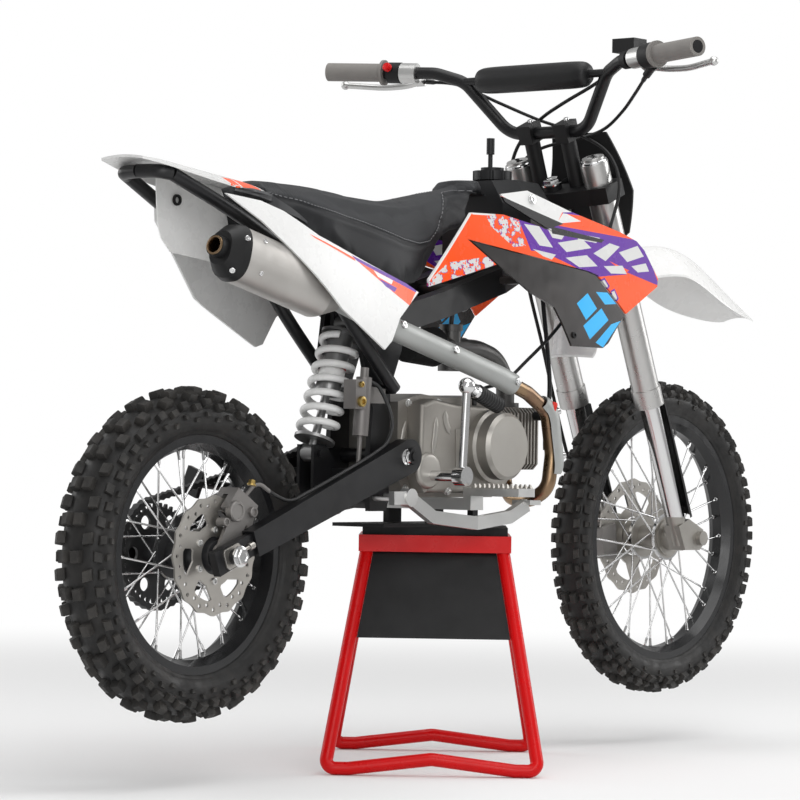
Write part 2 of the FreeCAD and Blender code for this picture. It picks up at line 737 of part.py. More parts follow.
def rear_shock():
    """Damper body, rod, two eyes and the spring's two perches."""
    width = float(size("shock_eye_width"))
    eye = float(size("shock_eye_radius"))
    hole = float(size("shock_bolt_radius")) + 0.1
    bottom_perch = shock_bottom + shock_line * float(size("spring_bottom_inset"))
    top_perch = shock_top - shock_line * float(size("spring_top_inset"))
    perch = float(size("perch_thickness"))
    wide = float(size("spring_radius")) + 3
    body_end = shock_bottom + shock_line * 105.0
    pieces = [rod(shock_bottom + V(0, -width / 2, 0), shock_bottom + V(0, width / 2, 0), eye),
              rod(shock_top + V(0, -width / 2, 0), shock_top + V(0, width / 2, 0), eye),
              rod(bottom_perch - shock_line * perch, bottom_perch, wide),
              rod(top_perch, top_perch + shock_line * perch, wide),
              rod(body_end, shock_top - shock_line * 20, float(size("shock_body_radius"))),
              rod(shock_top - shock_line * 22, shock_top, width / 2 - 0.1),
              rod(shock_bottom + shock_line * 4, body_end + shock_line * 5, float(size("shock_rod_radius")))]
    shape = pieces[0].fuse(pieces[1:])
    for end in (shock_bottom, shock_top):
        shape = shape.cut(rod(end + V(0, -width, 0), end + V(0, width, 0), hole))
    return made("rear_shock", shape.removeSplitter())


def shock_spring():
    """Coil between the two perches."""
    wire = float(size("spring_wire_radius"))
    gap = float(size("seat_gap"))
    start = float(size("spring_bottom_inset")) + wire + gap
    stop = (shock_top - shock_bottom).Length - float(size("spring_top_inset")) - wire - gap
    height = stop - start
    coil = Part.makeHelix(height / float(size("spring_turns")), height, float(size("spring_radius")) - 1)
    section = Part.Wire(Part.Circle(V(float(size("spring_radius")) - 1, 0, 0), V(0, 1, 0), wire).toShape())
    shape = Part.Wire(coil.Edges).makePipeShell([section], True, True)
    turn = FreeCAD.Rotation(V(0, 0, 1), shock_line)
    return made("shock_spring", shape, FreeCAD.Placement(shock_bottom + shock_line * start, turn))


# Frame

def spar_points():
    """Middle line of the left spar from its rear end to the head tube."""
    offset = float(size("spar_offset"))
    neck = on_stem((float(size("head_tube_start")) + float(size("head_tube_end"))) / 2)
    return [vec(fore(424), offset, 747), vec(fore(560), offset, 782), vec(fore(706), offset, 826),
            vec(neck.x - 40, 30, neck.z - 6)]


def main_frame():
    """Head tube, two spars, the pivot plates and the tubes between them."""
    tube_radius = float(size("head_tube_radius"))
    head_low = on_stem(size("head_tube_start"))
    head_high = on_stem(size("head_tube_end"))
    spar = beam(spar_points(), size("spar_width"), size("spar_height"))
    neck = spar_points()[-1]
    gusset = beam([neck, V(neck.x + 34, 9, neck.z + 4)], size("spar_width"), size("spar_height"))
    plate_low = float(size("plate_offset") - size("plate_thickness") / 2)
    rear = float(size("engine_rear_ahead"))
    outline = [(376, 768), (470, 776), (468, 700), (rear, 636), (rear, 452), (rear - 6, 432), (392, 432),
               (386, 500), (396, 600), (366, 700)]
    plate = upright_prism(outline, plate_low, plate_low + float(size("plate_thickness")))
    side = spar.fuse([gusset, plate])
    pivot = vec(fore(size("pivot_ahead")), 0, size("pivot_height"))
    reach = float(size("arm_offset") + size("arm_width") / 2) + 10
    cross = [rod(pivot + V(0, -reach, 0), pivot + V(0, reach, 0), float(size("pivot_radius"))),
             rod(pivot + V(0, -plate_low, 0), pivot + V(0, plate_low, 0), 11.7)]
    for end in (1, -1):
        near = pivot + V(0, end * (reach - 9.8), 0)
        cross.append(rod(near, near + V(0, end * 8, 0), 14.0))
    low_cross = vec(fore(414), 0, 448)
    cross.append(rod(low_cross + V(0, -plate_low, 0), low_cross + V(0, plate_low, 0), 12.0))
    spar_inner = float(size("spar_offset"))
    for ahead, height in ((450, 756), (640, 806)):
        middle = vec(fore(ahead), 0, height)
        cross.append(rod(middle + V(0, -spar_inner, 0), middle + V(0, spar_inner, 0),
                         float(size("cross_tube_radius"))))
    shape = rod(head_low, head_high, tube_radius).fuse([side, mirrored(side)] + cross)
    eye_half = float(size("shock_eye_width")) / 2 + 0.3
    for end in (1, -1):
        corners = [vec(fore(365), end * eye_half, 729.5), vec(fore(440), end * eye_half, 736),
                   vec(fore(446), end * eye_half, 764), vec(fore(365), end * eye_half, 762)]
        shape = shape.fuse(prism(corners, V(0, end * 8.0, 0)))
        tie = vec(fore(400), end * eye_half, 748)
        shape = shape.fuse(rod(tie, tie + V(0, end * (plate_low + 6 - eye_half), 0), 9.0))
    bolt = float(size("shock_bolt_radius"))
    shape = shape.fuse(rod(shock_top + V(0, -eye_half - 14, 0), shock_top + V(0, eye_half + 14, 0), bolt))
    shape = shape.cut(rod(head_low, head_high, float(size("stem_radius") + size("running_fit"))))
    return made("main_frame", shape.removeSplitter())


# Rear fender: its crest line and its edges' drop, from the tip to the seat.
FENDER_AHEAD = [-158.0, -100.0, -30.0, 40.0, 106.0]
FENDER_CREST = [984.0, 982.0, 974.0, 966.0, 957.0]
FENDER_DROP = [4.0, 13.0, 19.0, 22.0, 22.0]
FENDER_HALF = [44.0, 60.0, 70.0, 74.0, 72.0]


def between(value, places, values):
    """Value read off a line of places and values."""
    for index in range(len(places) - 1):
        if value <= places[index + 1]:
            share = (value - places[index]) / (places[index + 1] - places[index])
            return values[index] + share * (values[index + 1] - values[index])
    return values[-1]


def fender_underside(ahead, side):
    """Height of the rear fender's underside beside its crest."""
    half = between(ahead, FENDER_AHEAD, FENDER_HALF)
    drop = between(ahead, FENDER_AHEAD, FENDER_DROP)
    return between(ahead, FENDER_AHEAD, FENDER_CREST) - drop * (side / half) ** 2 - float(size("panel_thickness"))


def rear_fender():
    """Arched tongue over the rear wheel."""
    grid = []
    for index, ahead in enumerate(FENDER_AHEAD):
        row = []
        for share in (-1.0, -0.6, 0.0, 0.6, 1.0):
            height = FENDER_CREST[index] - FENDER_DROP[index] * share ** 2
            row.append(vec(fore(ahead), FENDER_HALF[index] * share, height))
        grid.append(row)
    return made("rear_fender", skin(grid, V(0, 0, -float(size("panel_thickness")))))


LOOP_SIDE = 48.0
LOOP_AHEAD = -96.0
LOOP_SINK = 0.9
RAIL_AHEAD = [20.0, 130.0, 250.0, 366.0, 412.0]
RAIL_HEIGHT = [908.0, 862.0, 822.0, 783.0, 757.0]


def loop_height():
    """Height of the rail's rear loop under the fender."""
    clear = float(size("frame_tube_radius") + size("seat_gap")) + LOOP_SINK
    return fender_underside(LOOP_AHEAD, LOOP_SIDE) - clear


def rail_route():
    """Left seat rail from the spar to the rear loop."""
    offset = float(size("rail_offset"))
    points = [vec(fore(ahead), offset, height) for ahead, height in zip(RAIL_AHEAD[::-1], RAIL_HEIGHT[::-1])]
    return points + [vec(fore(LOOP_AHEAD), LOOP_SIDE, loop_height())]


def rear_subframe():
    """Seat rails, struts, the loop under the fender and the muffler's hanger."""
    offset = float(size("rail_offset"))
    radius = float(size("frame_tube_radius"))
    rail = rail_route()
    height = loop_height()
    loop = [vec(fore(LOOP_AHEAD), LOOP_SIDE, height), vec(fore(LOOP_AHEAD - 18), LOOP_SIDE - 10, height + 3),
            vec(fore(LOOP_AHEAD - 24), 0, height + 4)]
    strut = [vec(fore(236), offset, 826), vec(fore(308), offset, 748), vec(fore(430), offset, 634)]
    side = tube(rail, radius).fuse([tube(loop, radius, 18), tube(strut, radius)])
    side = side.fuse(rod(strut[-1], strut[-1] + V(0, 49.3 - offset, 0), 8.0))
    for ahead in (110.0, 330.0):
        height = between(ahead, RAIL_AHEAD, RAIL_HEIGHT)
        side = side.fuse(rod(vec(fore(ahead), 0, height), vec(fore(ahead), offset, height), 8.0))
    hanger = prism([vec(fore(74), -offset, 880), vec(fore(124), -offset, 860), vec(fore(112), -offset, 848.5),
                    vec(fore(84), -offset, 855)], V(0, -8, 0))
    shape = side.fuse([mirrored(side), hanger]).removeSplitter()
    return made("rear_subframe", shape)


# Engine

def engine_cases():
    """Crankcase block with the right cover and its round clutch cover's seat."""
    rear = float(size("engine_rear_ahead"))
    front = float(size("engine_front_ahead"))
    bottom = float(size("engine_bottom"))
    top = float(size("engine_top"))
    half = float(size("engine_half"))
    core = upright_prism([(rear, bottom + 34), (rear + 26, bottom), (front - 20, bottom), (front, bottom + 26),
                          (front, 612), (front - 60, top), (560, top - 6), (500, top), (rear, top - 14)],
                         -66.0, 50.0)
    right = upright_prism([(rear + 22, 500), (rear + 38, 463), (front - 28, 463), (front - 8, 490),
                           (front - 8, 590), (front - 40, 608), (560, 612), (500, 620), (rear + 26, 610)],
                          -half, -65.0)
    shape = core.fuse(right).removeSplitter()
    edges = [edge for edge in shape.Edges if edge.BoundBox.YMax < -half + 1e-3]
    return made("engine_cases", shape.makeFillet(7.0, edges))


def clutch_cover():
    """Round cover on the right side, with a rounded rim."""
    half = size("engine_half")
    out = size("cover_out")
    radius = size("cover_radius")
    body = revolve("clutch_cover", [(0, 0), (radius + 5, 0), (radius + 5, -12), (radius, -16),
                                    (radius, -(out - half - 6)), (radius - 6, -(out - half)),
                                    (0, -(out - half))])
    place(body, fore(size("cover_ahead")), -half, size("cover_height"))
    return body


def flywheel_cover():
    """Flywheel cover on the left side."""
    body = revolve("flywheel_cover", [(0, 0), (56, 0), (56, 26), (48, 38), (0, 40)])
    place(body, fore(640), 50.2, 545)
    return body


def finned_block(name, start, end, core, across, up):
    """Core with square cooling fins along X."""
    body = new_body(name)
    length = as_size(end) - start
    section = sketch_on(body, "YZ_Plane", f"{name}_core")
    polygon(section, [(-core, -core), (core, -core), (core, core), (-core, core)])
    pad(body, section, length)
    fin = sketch_on(body, "YZ_Plane", f"{name}_fin", lift=size("fin_pitch") * 0.4)
    polygon(fin, [(-across, -up + 10), (-across + 10, -up), (across - 10, -up), (across, -up + 10),
                  (across, up - 10), (across - 10, up), (-across + 10, up), (-across, up - 10)])
    grown = pad(body, fin, size("fin_thickness"))
    rows = body.newObject("PartDesign::LinearPattern", f"{name}_fins")
    rows.Originals = [grown]
    rows.Direction = (fin, ["N_Axis"])
    count = int(length.value / float(size("fin_pitch")))
    rows.Length = float(size("fin_pitch")) * (count - 1)
    rows.Occurrences = count
    body.Tip = rows
    place(body, fore(start), 0, size("barrel_height"))
    return body


def kick_starter():
    """Shaft boss, upright lever and the folded ribbed pedal."""
    side = -float(size("kick_offset"))
    foot = vec(fore(size("kick_ahead")), side, size("kick_height"))
    top = vec(fore(size("kick_ahead") + 5), side - 4, size("kick_top_height"))
    case = -float(size("engine_half")) - 0.1
    shape = rod(V(foot.x, case, foot.z), foot + V(0, -9, 0), 9.0)
    shape = shape.fuse([rod(foot + V(0, 10, 0), foot + V(0, -11, 0), 16.0), rod(foot, top, 7.5),
                        Part.makeSphere(14.0, top),
                        rod(top, top + V(24, 0, -9), 8.0), rod(top + V(18, 0, -7), top + V(84, 0, -30), 12.0)])
    return made("kick_starter", shape.removeSplitter())


def carburettor():
    """Upright carburettor with its float bowl, throat and top cap."""
    middle = vec(fore(660), 0, 706)
    shape = rod(middle + V(0, 0, -16), middle + V(0, 0, 34), 17.0)
    shape = shape.fuse([rod(middle + V(0, 0, 33), middle + V(0, 0, 44), 20.0),
                        rod(middle + V(0, 0, -36), middle + V(0, 0, -12), 22.0),
                        rod(middle + V(-34, 0, 4), middle + V(34, 0, 4), 18.5)])
    return made("carburettor", shape.removeSplitter())


def intake_manifold():
    """Elbow from the carburettor down to the head's top."""
    start = vec(fore(694.3), 0, 710)
    head_top = float(size("barrel_height") + 54)
    points = [start, vec(fore(730), 0, 710), vec(fore(784), 0, 696), vec(fore(814), 0, 656),
              vec(fore(814), 0, head_top + 0.3)]
    shape = tube(points, 16.0)
    flange = rod(points[-1], points[-1] + V(0, 0, 8), 24.0)
    return made("intake_manifold", shape.fuse(flange).removeSplitter())


def air_filter():
    """Tapered pod filter on the carburettor's mouth."""
    mouth = vec(fore(625.7), 0, 710)
    shape = Part.makeCone(22.0, 24.0, 14.0, mouth, V(-1, 0, 0))
    shape = shape.fuse(Part.makeCone(34.0, 28.0, 74.0, mouth + V(-14, 0, 0), V(-1, 0, 0)))
    return made("air_filter", shape.removeSplitter())


# Exhaust

def pipe_route():
    """Header from the port under the head, round below the engine's front and back up."""
    side = -float(size("shield_offset"))
    return [vec(fore(816), 0, float(size("barrel_height")) - 54.3), vec(fore(816), 0, 478), vec(fore(800), -26, 452),
            vec(fore(782), -84, 450), vec(fore(786), side, 470), vec(fore(796), side, 530),
            vec(fore(780), side, 604), vec(fore(724), side, 634), vec(fore(680), side, 648)]


def exhaust_header():
    """Bare header pipe with its flange."""
    points = pipe_route()
    shape = tube(points, size("pipe_radius"), 34)
    flange = rod(points[0], points[0] + V(0, 0, -7), 21.0)
    return made("exhaust_header", shape.fuse(flange).removeSplitter())


def exhaust_midpipe():
    """Wide shielded pipe that climbs back beside the engine to the muffler."""
    end = pipe_route()[-1]
    along = pipe_route()[-2] - end
    along.normalize()
    start = end - along * 0.3
    side = -float(size("shield_offset"))
    points = [start, vec(fore(642), side, 660.1), vec(fore(378), -106, 732), vec(fore(300), -101, 757),
              vec(fore(244), -95, 776.6)]
    return made("exhaust_midpipe", tube(points, size("shield_radius"), 120))


def header_guard():
    """Curved shield in front of the rising header."""
    side = -float(size("shield_offset"))
    low = vec(fore(794.3), side, 537.8)
    high = vec(fore(783.7), side, 586.7)
    inner = float(size("pipe_radius") + size("seat_gap"))
    outer = inner + 3.0
    shell = rod(low, high, outer).cut(rod(low, high, inner))
    keep = Part.makeBox(60, 60, 140, V(low.x - 4, low.y - 34, low.z - 20))
    return made("header_guard", shell.common(keep))


def oval(centre, along, half_height, half_width, count=20):
    """Closed oval of points square to a direction; its width lies across the bike."""
    side = along.cross(V(0, 0, 1))
    side.normalize()
    rise = side.cross(along)
    rise.normalize()
    points = []
    for index in range(count):
        angle = 2 * math.pi * index / count
        x = math.cos(angle)
        z = math.sin(angle)
        points.append(centre + side * (half_width * math.copysign(abs(x) ** 0.8, x))
                      + rise * (half_height * math.copysign(abs(z) ** 0.8, z)))
    return points


muffler_rear = vec(fore(size("muffler_rear_ahead")), -size("muffler_rear_offset"), size("muffler_rear_height"))
muffler_front = vec(fore(size("muffler_front_ahead")), -size("muffler_front_offset"), size("muffler_front_height"))


def smooth_loft(rings):
    """Solid through rings of points, each closed by one smooth curve."""
    wires = []
    for points in rings:
        curve = Part.BSplineCurve()
        curve.interpolate(Points=points, PeriodicFlag=True)
        wires.append(Part.Wire(curve.toShape()))
    return Part.makeLoft(wires, True, True)


def muffler():
    """Oval can that narrows at the front to its inlet."""
    along = muffler_front - muffler_rear
    length = along.Length
    along.normalize()
    high = float(size("muffler_half_height"))
    wide = float(size("muffler_half_width"))
    rings = [oval(muffler_rear, along, high, wide),
             oval(muffler_rear + along * (length - 46), along, high, wide),
             oval(muffler_rear + along * (length - 2), along, high * 0.55, wide * 0.62)]
    return made("muffler", smooth_loft(rings))


def muffler_cap():
    """Dark rear cap with the outlet pipe."""
    along = muffler_front - muffler_rear
    along.normalize()
    high = float(size("muffler_half_height"))
    wide = float(size("muffler_half_width"))
    back = muffler_rear - along * 0.3
    shape = smooth_loft([oval(back, along, high + 1, wide + 1), oval(back - along * 14, along, high - 2, wide - 2),
                         oval(back - along * 34, along, high * 0.6, wide * 0.62)])
    outlet = back - along * 34
    shape = shape.fuse(rod(outlet + along * 10, outlet - along * 14, 17.0))
    shape = shape.cut(rod(outlet - along * 15, outlet + along * 16, 12.5))
    return made("muffler_cap", shape)


# Pegs, pedals and the rear brake

def footpegs():
    """Cross bar under the engine with a toothed peg at each end."""
    bar_half = float(size("peg_inner"))
    width = float(size("peg_bar_width"))
    top = float(size("engine_bottom"))
    bottom = top - float(size("peg_bar_height"))
    centre = fore(size("peg_ahead")).value
    bar = Part.makeBox(width, 2 * bar_half, top - bottom, V(centre - width / 2, -bar_half, bottom))
    peg_width = float(size("peg_width"))
    thickness = float(size("peg_thickness"))
    height = float(size("peg_height"))
    length = float(size("peg_outer")) - bar_half
    peg = Part.makeBox(peg_width, length, thickness, V(centre - peg_width / 2, bar_half - 0.5, height - thickness / 2))
    slot = Part.makeBox(peg_width - 12, length - 26, thickness * 2, V(centre - peg_width / 2 + 6, bar_half + 14,
                                                                       height - thickness))
    peg = peg.cut(slot)
    for share in (0.35, 0.65):
        peg = peg.fuse(Part.makeBox(peg_width - 6, 5, thickness - 3,
                                    V(centre - peg_width / 2 + 3, bar_half + length * share, height - thickness / 2)))
    knuckle = Part.makeBox(width, 16, height + thickness / 2 - bottom, V(centre - width / 2, bar_half - 16, bottom))
    side = peg.fuse(knuckle)
    return made("footpegs", bar.fuse([side, mirrored(side), side_stand_bracket()]).removeSplitter())


def skid_plate():
    """Guard under the engine that rests on the stand; two posts carry the peg bar and the engine."""
    half = float(size("skid_half"))
    low = float(size("pad_top"))
    thick = float(size("skid_thickness"))
    rear = fore(size("skid_rear_ahead")).value
    front = fore(size("skid_front_ahead")).value
    shape = Part.makeBox(front - rear, 2 * half, thick, V(rear, -half, low))
    peg = fore(size("peg_ahead")).value
    bar_low = float(size("engine_bottom") - size("peg_bar_height"))
    width = float(size("peg_bar_width"))
    for side in (-half + 4, half - 16):
        shape = shape.fuse(Part.makeBox(width, 12, bar_low - low, V(peg - width / 2, side, low)))
        shape = shape.fuse(Part.makeBox(14, 12, float(size("engine_bottom")) - low, V(front - 44, side, low)))
    return made("skid_plate", shape.removeSplitter())


def brake_pedal():
    """Aluminium rear brake pedal that sweeps under the peg to a toothed tip."""
    side = -120.0
    route = [vec(fore(362), side, 455), vec(fore(404), side, 456), vec(fore(452), side - 12, 424),
             vec(fore(540), side - 34, 414), vec(fore(622), side - 40, 424), vec(fore(664), side - 44, 444)]
    arm = beam(route, 12.0, 22.0)
    boss = rod(vec(fore(404), side + 9, 456), vec(fore(404), side - 9, 456), 15.0)
    pad_block = Part.makeBox(30, 38, 8, vec(fore(652), side - 62, 444))
    stay = rod(vec(fore(404), side + 8, 456), vec(fore(404), -49.3, 456), 7.0)
    return made("brake_pedal", arm.fuse([boss, pad_block, stay]).removeSplitter())


def shift_lever():
    """Gear lever on the left side."""
    side = 118.0
    start = vec(fore(600), side, 486)
    arm = beam([start, vec(fore(660), side + 4, 478), vec(fore(722), side + 6, 470)], 8.0, 14.0)
    shaft = rod(V(start.x, 50.3, start.z), start + V(0, 6, 0), 6.0)
    boss = rod(start + V(0, -8, 0), start + V(0, 8, 0), 12.0)
    tip = vec(fore(718), side + 2, 470)
    return made("shift_lever", arm.fuse([shaft, boss, rod(tip, tip + V(0, 42, 0), 8.0)]).removeSplitter())


def rear_master_cylinder():
    """Upright rear brake cylinder with its reservoir and push rod."""
    side = -66.0
    top = vec(fore(352), side, 652)
    low = vec(fore(344), side, 556)
    line = low - top
    line.normalize()
    shape = rod(top, low, 13.0)
    cup = Part.makeBox(26, 26, 48, V(top.x - 36, side - 13, top.z - 52))
    plate_side = -float(size("plate_offset") + size("plate_thickness") / 2 + size("seat_gap"))
    bracket = upright_prism([(346, 610), (412, 610), (412, 634), (346, 640)], side + 4, plate_side)
    shape = shape.fuse([cup, rod(low - line, low + line * 46, 4.0), rod(top + line * 2, top - line * 16, 7.0),
                        bracket])
    return made("rear_master_cylinder", shape.removeSplitter())


def rear_caliper():
    """Caliper over the front upper edge of the rear disc, on a bracket at the axle."""
    disc = float(size("rear_disc_offset"))
    radius = float(size("rear_disc_radius"))
    angle = math.radians(58.0)
    axle = V(float(rear_x), 0, float(rear_z))
    reach = V(math.cos(angle), 0, math.sin(angle))
    square = V(-math.sin(angle), 0, math.cos(angle))
    centre = axle + reach * (radius - 6)
    half = 33.0
    corners = [centre + reach * a + square * b for a, b in ((-20, -half), (-20, half), (20, half - 6), (20, -half + 6))]
    block = prism([point + V(0, -disc - 20, 0) for point in corners], V(0, 38, 0))
    slot = rod(axle + V(0, -disc - 5, 0), axle + V(0, -disc + 5, 0), radius + 5.0)
    block = block.cut(slot)
    bracket_corners = [centre + reach * -16 + square * -20, centre + reach * -16 + square * 20,
                       axle + square * 16 + reach * 6, axle + square * -16 + reach * 6]
    bracket = prism([point + V(0, -disc - 14, 0) for point in bracket_corners], V(0, -6, 0))
    ring = collar(axle + V(0, -disc - 14, 0), axle + V(0, -disc - 20, 0), 20.0, float(size("axle_radius")) + 5.2)
    hole = rod(axle, axle - V(0, disc + 30, 0), float(size("axle_radius")) + 5.2)
    return made("rear_caliper", block.fuse([bracket.cut(hole), ring]).removeSplitter())


# Bodywork

def fuel_tank():
    """Solid tank between the shrouds, with the black cover's stepped top."""
    def section(ahead, half, low, high, shoulder):
        return [vec(fore(ahead), -half, low), vec(fore(ahead), half, low), vec(fore(ahead), half, shoulder),
                vec(fore(ahead), half * 0.62, high), vec(fore(ahead), -half * 0.62, high),
                vec(fore(ahead), -half, shoulder)]
    front = [section(714, 66, 856, 1000, 960), section(770, 84, 880, 1004, 955), section(840, 74, 908, 1002, 960),
             section(893, 46, 940, 978, 958)]
    wires = [Part.makePolygon(points + [points[0]]) for points in front]
    shape = Part.makeLoft(wires, True, True)
    return made("fuel_tank", shape)


def fuel_cap():
    """Ribbed cap with its breather's stub."""
    low = vec(fore(size("cap_ahead")), 0, float(size("cap_height")) + 2.3)
    radius = float(size("cap_radius"))
    shape = rod(low, low + V(0, 0, 16), radius)
    notches = []
    for index in range(10):
        angle = 2 * math.pi * index / 10
        spot = low + V(math.cos(angle), math.sin(angle), 0) * (radius + 1.5)
        notches.append(rod(spot, spot + V(0, 0, 16), 4.0))
    shape = shape.cut(notches).fuse(rod(low + V(0, 0, 15), low + V(0, 0, 22), 20.0))
    stub = low + V(-6, 0, 21)
    shape = shape.fuse([rod(stub, stub + V(0, 0, 24), 4.0), rod(stub + V(0, 0, 24), stub + V(0, 0, 52), 7.0)])
    return made("fuel_cap", shape.removeSplitter())


SEAT_SECTIONS = [
    # ahead, top height, top half, seam height, seam half, bottom height, bottom half
    (111, 957, 42, 950, 56, 934, 58),
    (164, 958, 62, 934, 82, 866, 84),
    (258, 953, 74, 914, 92, 831.1, 97),
    (346, 946, 76, 892, 95, 801.6, 101),
    (420, 944, 72, 876, 92, 800, 100),
    (468, 947, 64, 876, 84, 812, 92),
    (520, 955, 56, 896, 74, 862, 82),
    (580, 967, 48, 926, 64, 908, 70),
    (640, 979, 38, 952, 52, 938, 56),
    (713.7, 984, 22, 972, 34, 962, 36),
]


def seat():
    """One long saddle that rises on to the tank and is grooved over the rails."""
    sections = []
    for ahead, top, top_half, seam, seam_half, low, low_half in SEAT_SECTIONS:
        right = [(-low_half, low), (-seam_half, seam), (-top_half, top - 4)]
        left = [(top_half, top - 4), (seam_half, seam), (low_half, low)]
        sections.append([vec(fore(ahead), side, height) for side, height in right + [(0, top)] + left])
    groove = tube(rail_route(), size("frame_tube_radius") + size("seat_gap"))
    return made("seat", lofted(sections).cut([groove, mirrored(groove)]))


def side_surface(left, rows):
    """Curved sheet beside the bike, outer face first, from rows of (ahead, [(height, side), ...])."""
    thick = float(size("panel_thickness"))
    hand = 1 if left else -1
    grid = [[vec(fore(ahead), hand * side, height) for height, side in row] for ahead, row in rows]
    return skin(grid, V(0, -hand * thick, 0))


def trimmed(sheet_solid, outline):
    """Part of a sheet that lies inside an outline of (ahead, height) pairs."""
    cutter = upright_prism(outline, -260.0, 260.0)
    return sheet_solid.common(cutter)


PANEL_ROWS = [(-60, [(660, 92), (790, 92), (860, 90), (960, 84)]), (120, [(660, 112), (790, 109), (860, 103), (960, 96)]),
              (300, [(660, 134), (790, 126), (860, 119), (960, 112)]),
              (440, [(660, 138), (790, 128), (860, 121), (960, 114)])]
MUFFLER_PANEL_ROWS = [(-60, [(660, 104), (790, 102), (860, 96), (960, 84)]),
                      (120, [(660, 134), (800, 143), (850, 132), (960, 98)]),
                      (300, [(660, 141), (790, 136), (860, 121), (960, 112)]), PANEL_ROWS[-1]]
RIGHT_PANEL = [(-22, 930), (41, 890), (120, 825), (201, 757), (312, 696), (331, 711), (354, 748), (412, 793),
               (381, 806), (258, 843), (164, 873), (93, 908), (48, 922)]
LEFT_PANEL = [(8, 938), (15, 893), (128, 775), (150, 764), (302, 701), (320, 706), (350, 752), (412, 793),
              (381, 806), (258, 843), (164, 873), (93, 908), (48, 930)]


def boss(sheet_solid, left, ahead, height, start, radius):
    """Round boss across the bike, from a distance off the middle plane into a sheet."""
    hand = 1 if left else -1
    line = Part.LineSegment(vec(fore(ahead), 0, height), vec(fore(ahead), hand * 260, height)).toShape()
    found = line.common(sheet_solid).BoundBox
    middle = (found.YMin + found.YMax) / 2
    return rod(vec(fore(ahead), hand * start, height), vec(fore(ahead), middle, height), radius)


def side_panel(left, outline):
    """Number panel beside the seat, on two bosses from the rail."""
    rail = float(size("rail_offset") + size("frame_tube_radius") + size("seat_gap"))
    shape = trimmed(side_surface(left, PANEL_ROWS if left else MUFFLER_PANEL_ROWS), outline)
    posts = [boss(shape, left, ahead, height, rail, 6.0) for ahead, height in ((250, 822), (366, 783))]
    return shape.fuse(posts).removeSplitter()


SHROUD_ROWS = [(450, [(700, 124), (840, 118), (980, 106)]), (600, [(700, 146), (840, 134), (980, 116)]),
               (780, [(700, 162), (840, 150), (980, 128)]), (1030, [(700, 178), (840, 170), (980, 150)])]
SHROUD_TOP = [(435, 800), (559, 933), (640, 934), (745, 916), (772, 908), (648, 956), (640, 969), (708, 979),
              (811, 950), (939, 920), (981, 906), (999, 891), (1030, 842), (1027, 828), (938, 777),
              (868, 842), (842, 848), (545, 888), (612, 848)]
SHROUD_LOW = [(556, 884.5), (840, 846), (864, 840), (933, 775.5), (887, 724), (872, 715), (790, 716), (768, 755),
              (750, 781), (690, 805), (620, 846)]


def shroud(left, outline, posts):
    """Shroud beside the tank, with bosses to the tank or the spar."""
    shape = trimmed(side_surface(left, SHROUD_ROWS), outline)
    pieces = [boss(shape, left, ahead, height, start, 7.0) for ahead, height, start in posts]
    return shape.fuse(pieces).removeSplitter()


FRONT_FENDER = [
    # ahead, height, half width, drop of the edge
    (990, 708, 46, 16), (998, 770, 50, 22), (1026, 822, 53, 26), (1080, 858, 54, 30), (1140, 884, 57, 36),
    (1220, 912, 72, 52), (1287, 914, 75, 60), (1392, 876, 74, 62), (1473, 832, 62, 40), (1512, 811, 50, 24),
    (1536, 797, 34, 9),
]


def front_fender():
    """High arched fender under the lower clamp."""
    grid = []
    last = len(FRONT_FENDER) - 1
    for index, (ahead, height, half, drop) in enumerate(FRONT_FENDER):
        before = FRONT_FENDER[max(index - 1, 0)]
        after = FRONT_FENDER[min(index + 1, last)]
        along = V(after[0] - before[0], 0, after[1] - before[1])
        along.normalize()
        inward = V(along.z, 0, -along.x)
        crest = vec(fore(ahead), 0, height)
        grid.append([crest + V(0, half * share, 0) + inward * (drop * share ** 2)
                     for share in (-1.0, -0.7, -0.35, 0.0, 0.35, 0.7, 1.0)])
    shape = skin(grid, V(2.2, 0, -float(size("panel_thickness"))))
    low = float(size("lower_clamp_start")) - 0.3
    posts = [rod(on_stem(low, side, 6), on_stem(low - 34, side, 6), 7.0) for side in (-22, 22)]
    return made("front_fender", shape.fuse(posts).removeSplitter())


def number_plate():
    """Black plate before the bars, carried by two stays from the upper clamp."""
    grid = []
    for height, ahead in ((880, 1052), (1000, 1052), (1130, 990)):
        row = []
        for share in (-1.0, -0.5, 0.0, 0.5, 1.0):
            row.append(vec(fore(ahead + 14 * (1 - share ** 2)), 105 * share, height))
        grid.append(row)
    sheet_solid = skin(grid, V(4.0, 0, 0))
    outline = [(-60, 1106), (60, 1106), (94, 1003), (80, 928), (40, 902), (-40, 902), (-80, 928), (-94, 1003)]
    cutter = prism([vec(fore(980), side, height) for side, height in outline], V(120, 0, 0))
    shape = sheet_solid.common(cutter)
    along = float(size("upper_clamp_start")) + 14
    for side in (-46, 46):
        start = on_stem(along, side, 41.7)
        stop = on_stem(along, side, 124)
        shape = shape.fuse(rod(start, stop, 4.5))
    return made("number_plate", shape.removeSplitter())


# Front end

def clamp_block(start, height):
    """Triple clamp across the stem and both fork legs."""
    fork = float(size("stem_to_fork"))
    deep = float(size("clamp_half_depth"))
    side = float(size("fork_offset"))
    radius = float(size("fork_outer_radius"))
    outer = side + radius + 7
    shape = [(-outer, fork - deep + 8), (-side, fork - deep), (-34, -26), (34, -26), (side, fork - deep),
             (outer, fork - deep + 8), (outer, fork + deep - 8), (side - 8, fork + deep), (36, fork + 8),
             (-36, fork + 8), (-side + 8, fork + deep), (-outer, fork + deep - 8)]
    points = [on_stem(start, y, ahead) for y, ahead in shape]
    block = prism(points, UP_FORK * height)
    for hand in (-1, 1):
        hole = rod(on_fork(start - 1, hand * side), on_fork(start + height + 1, hand * side), radius + 0.1)
        block = block.cut(hole)
    return block


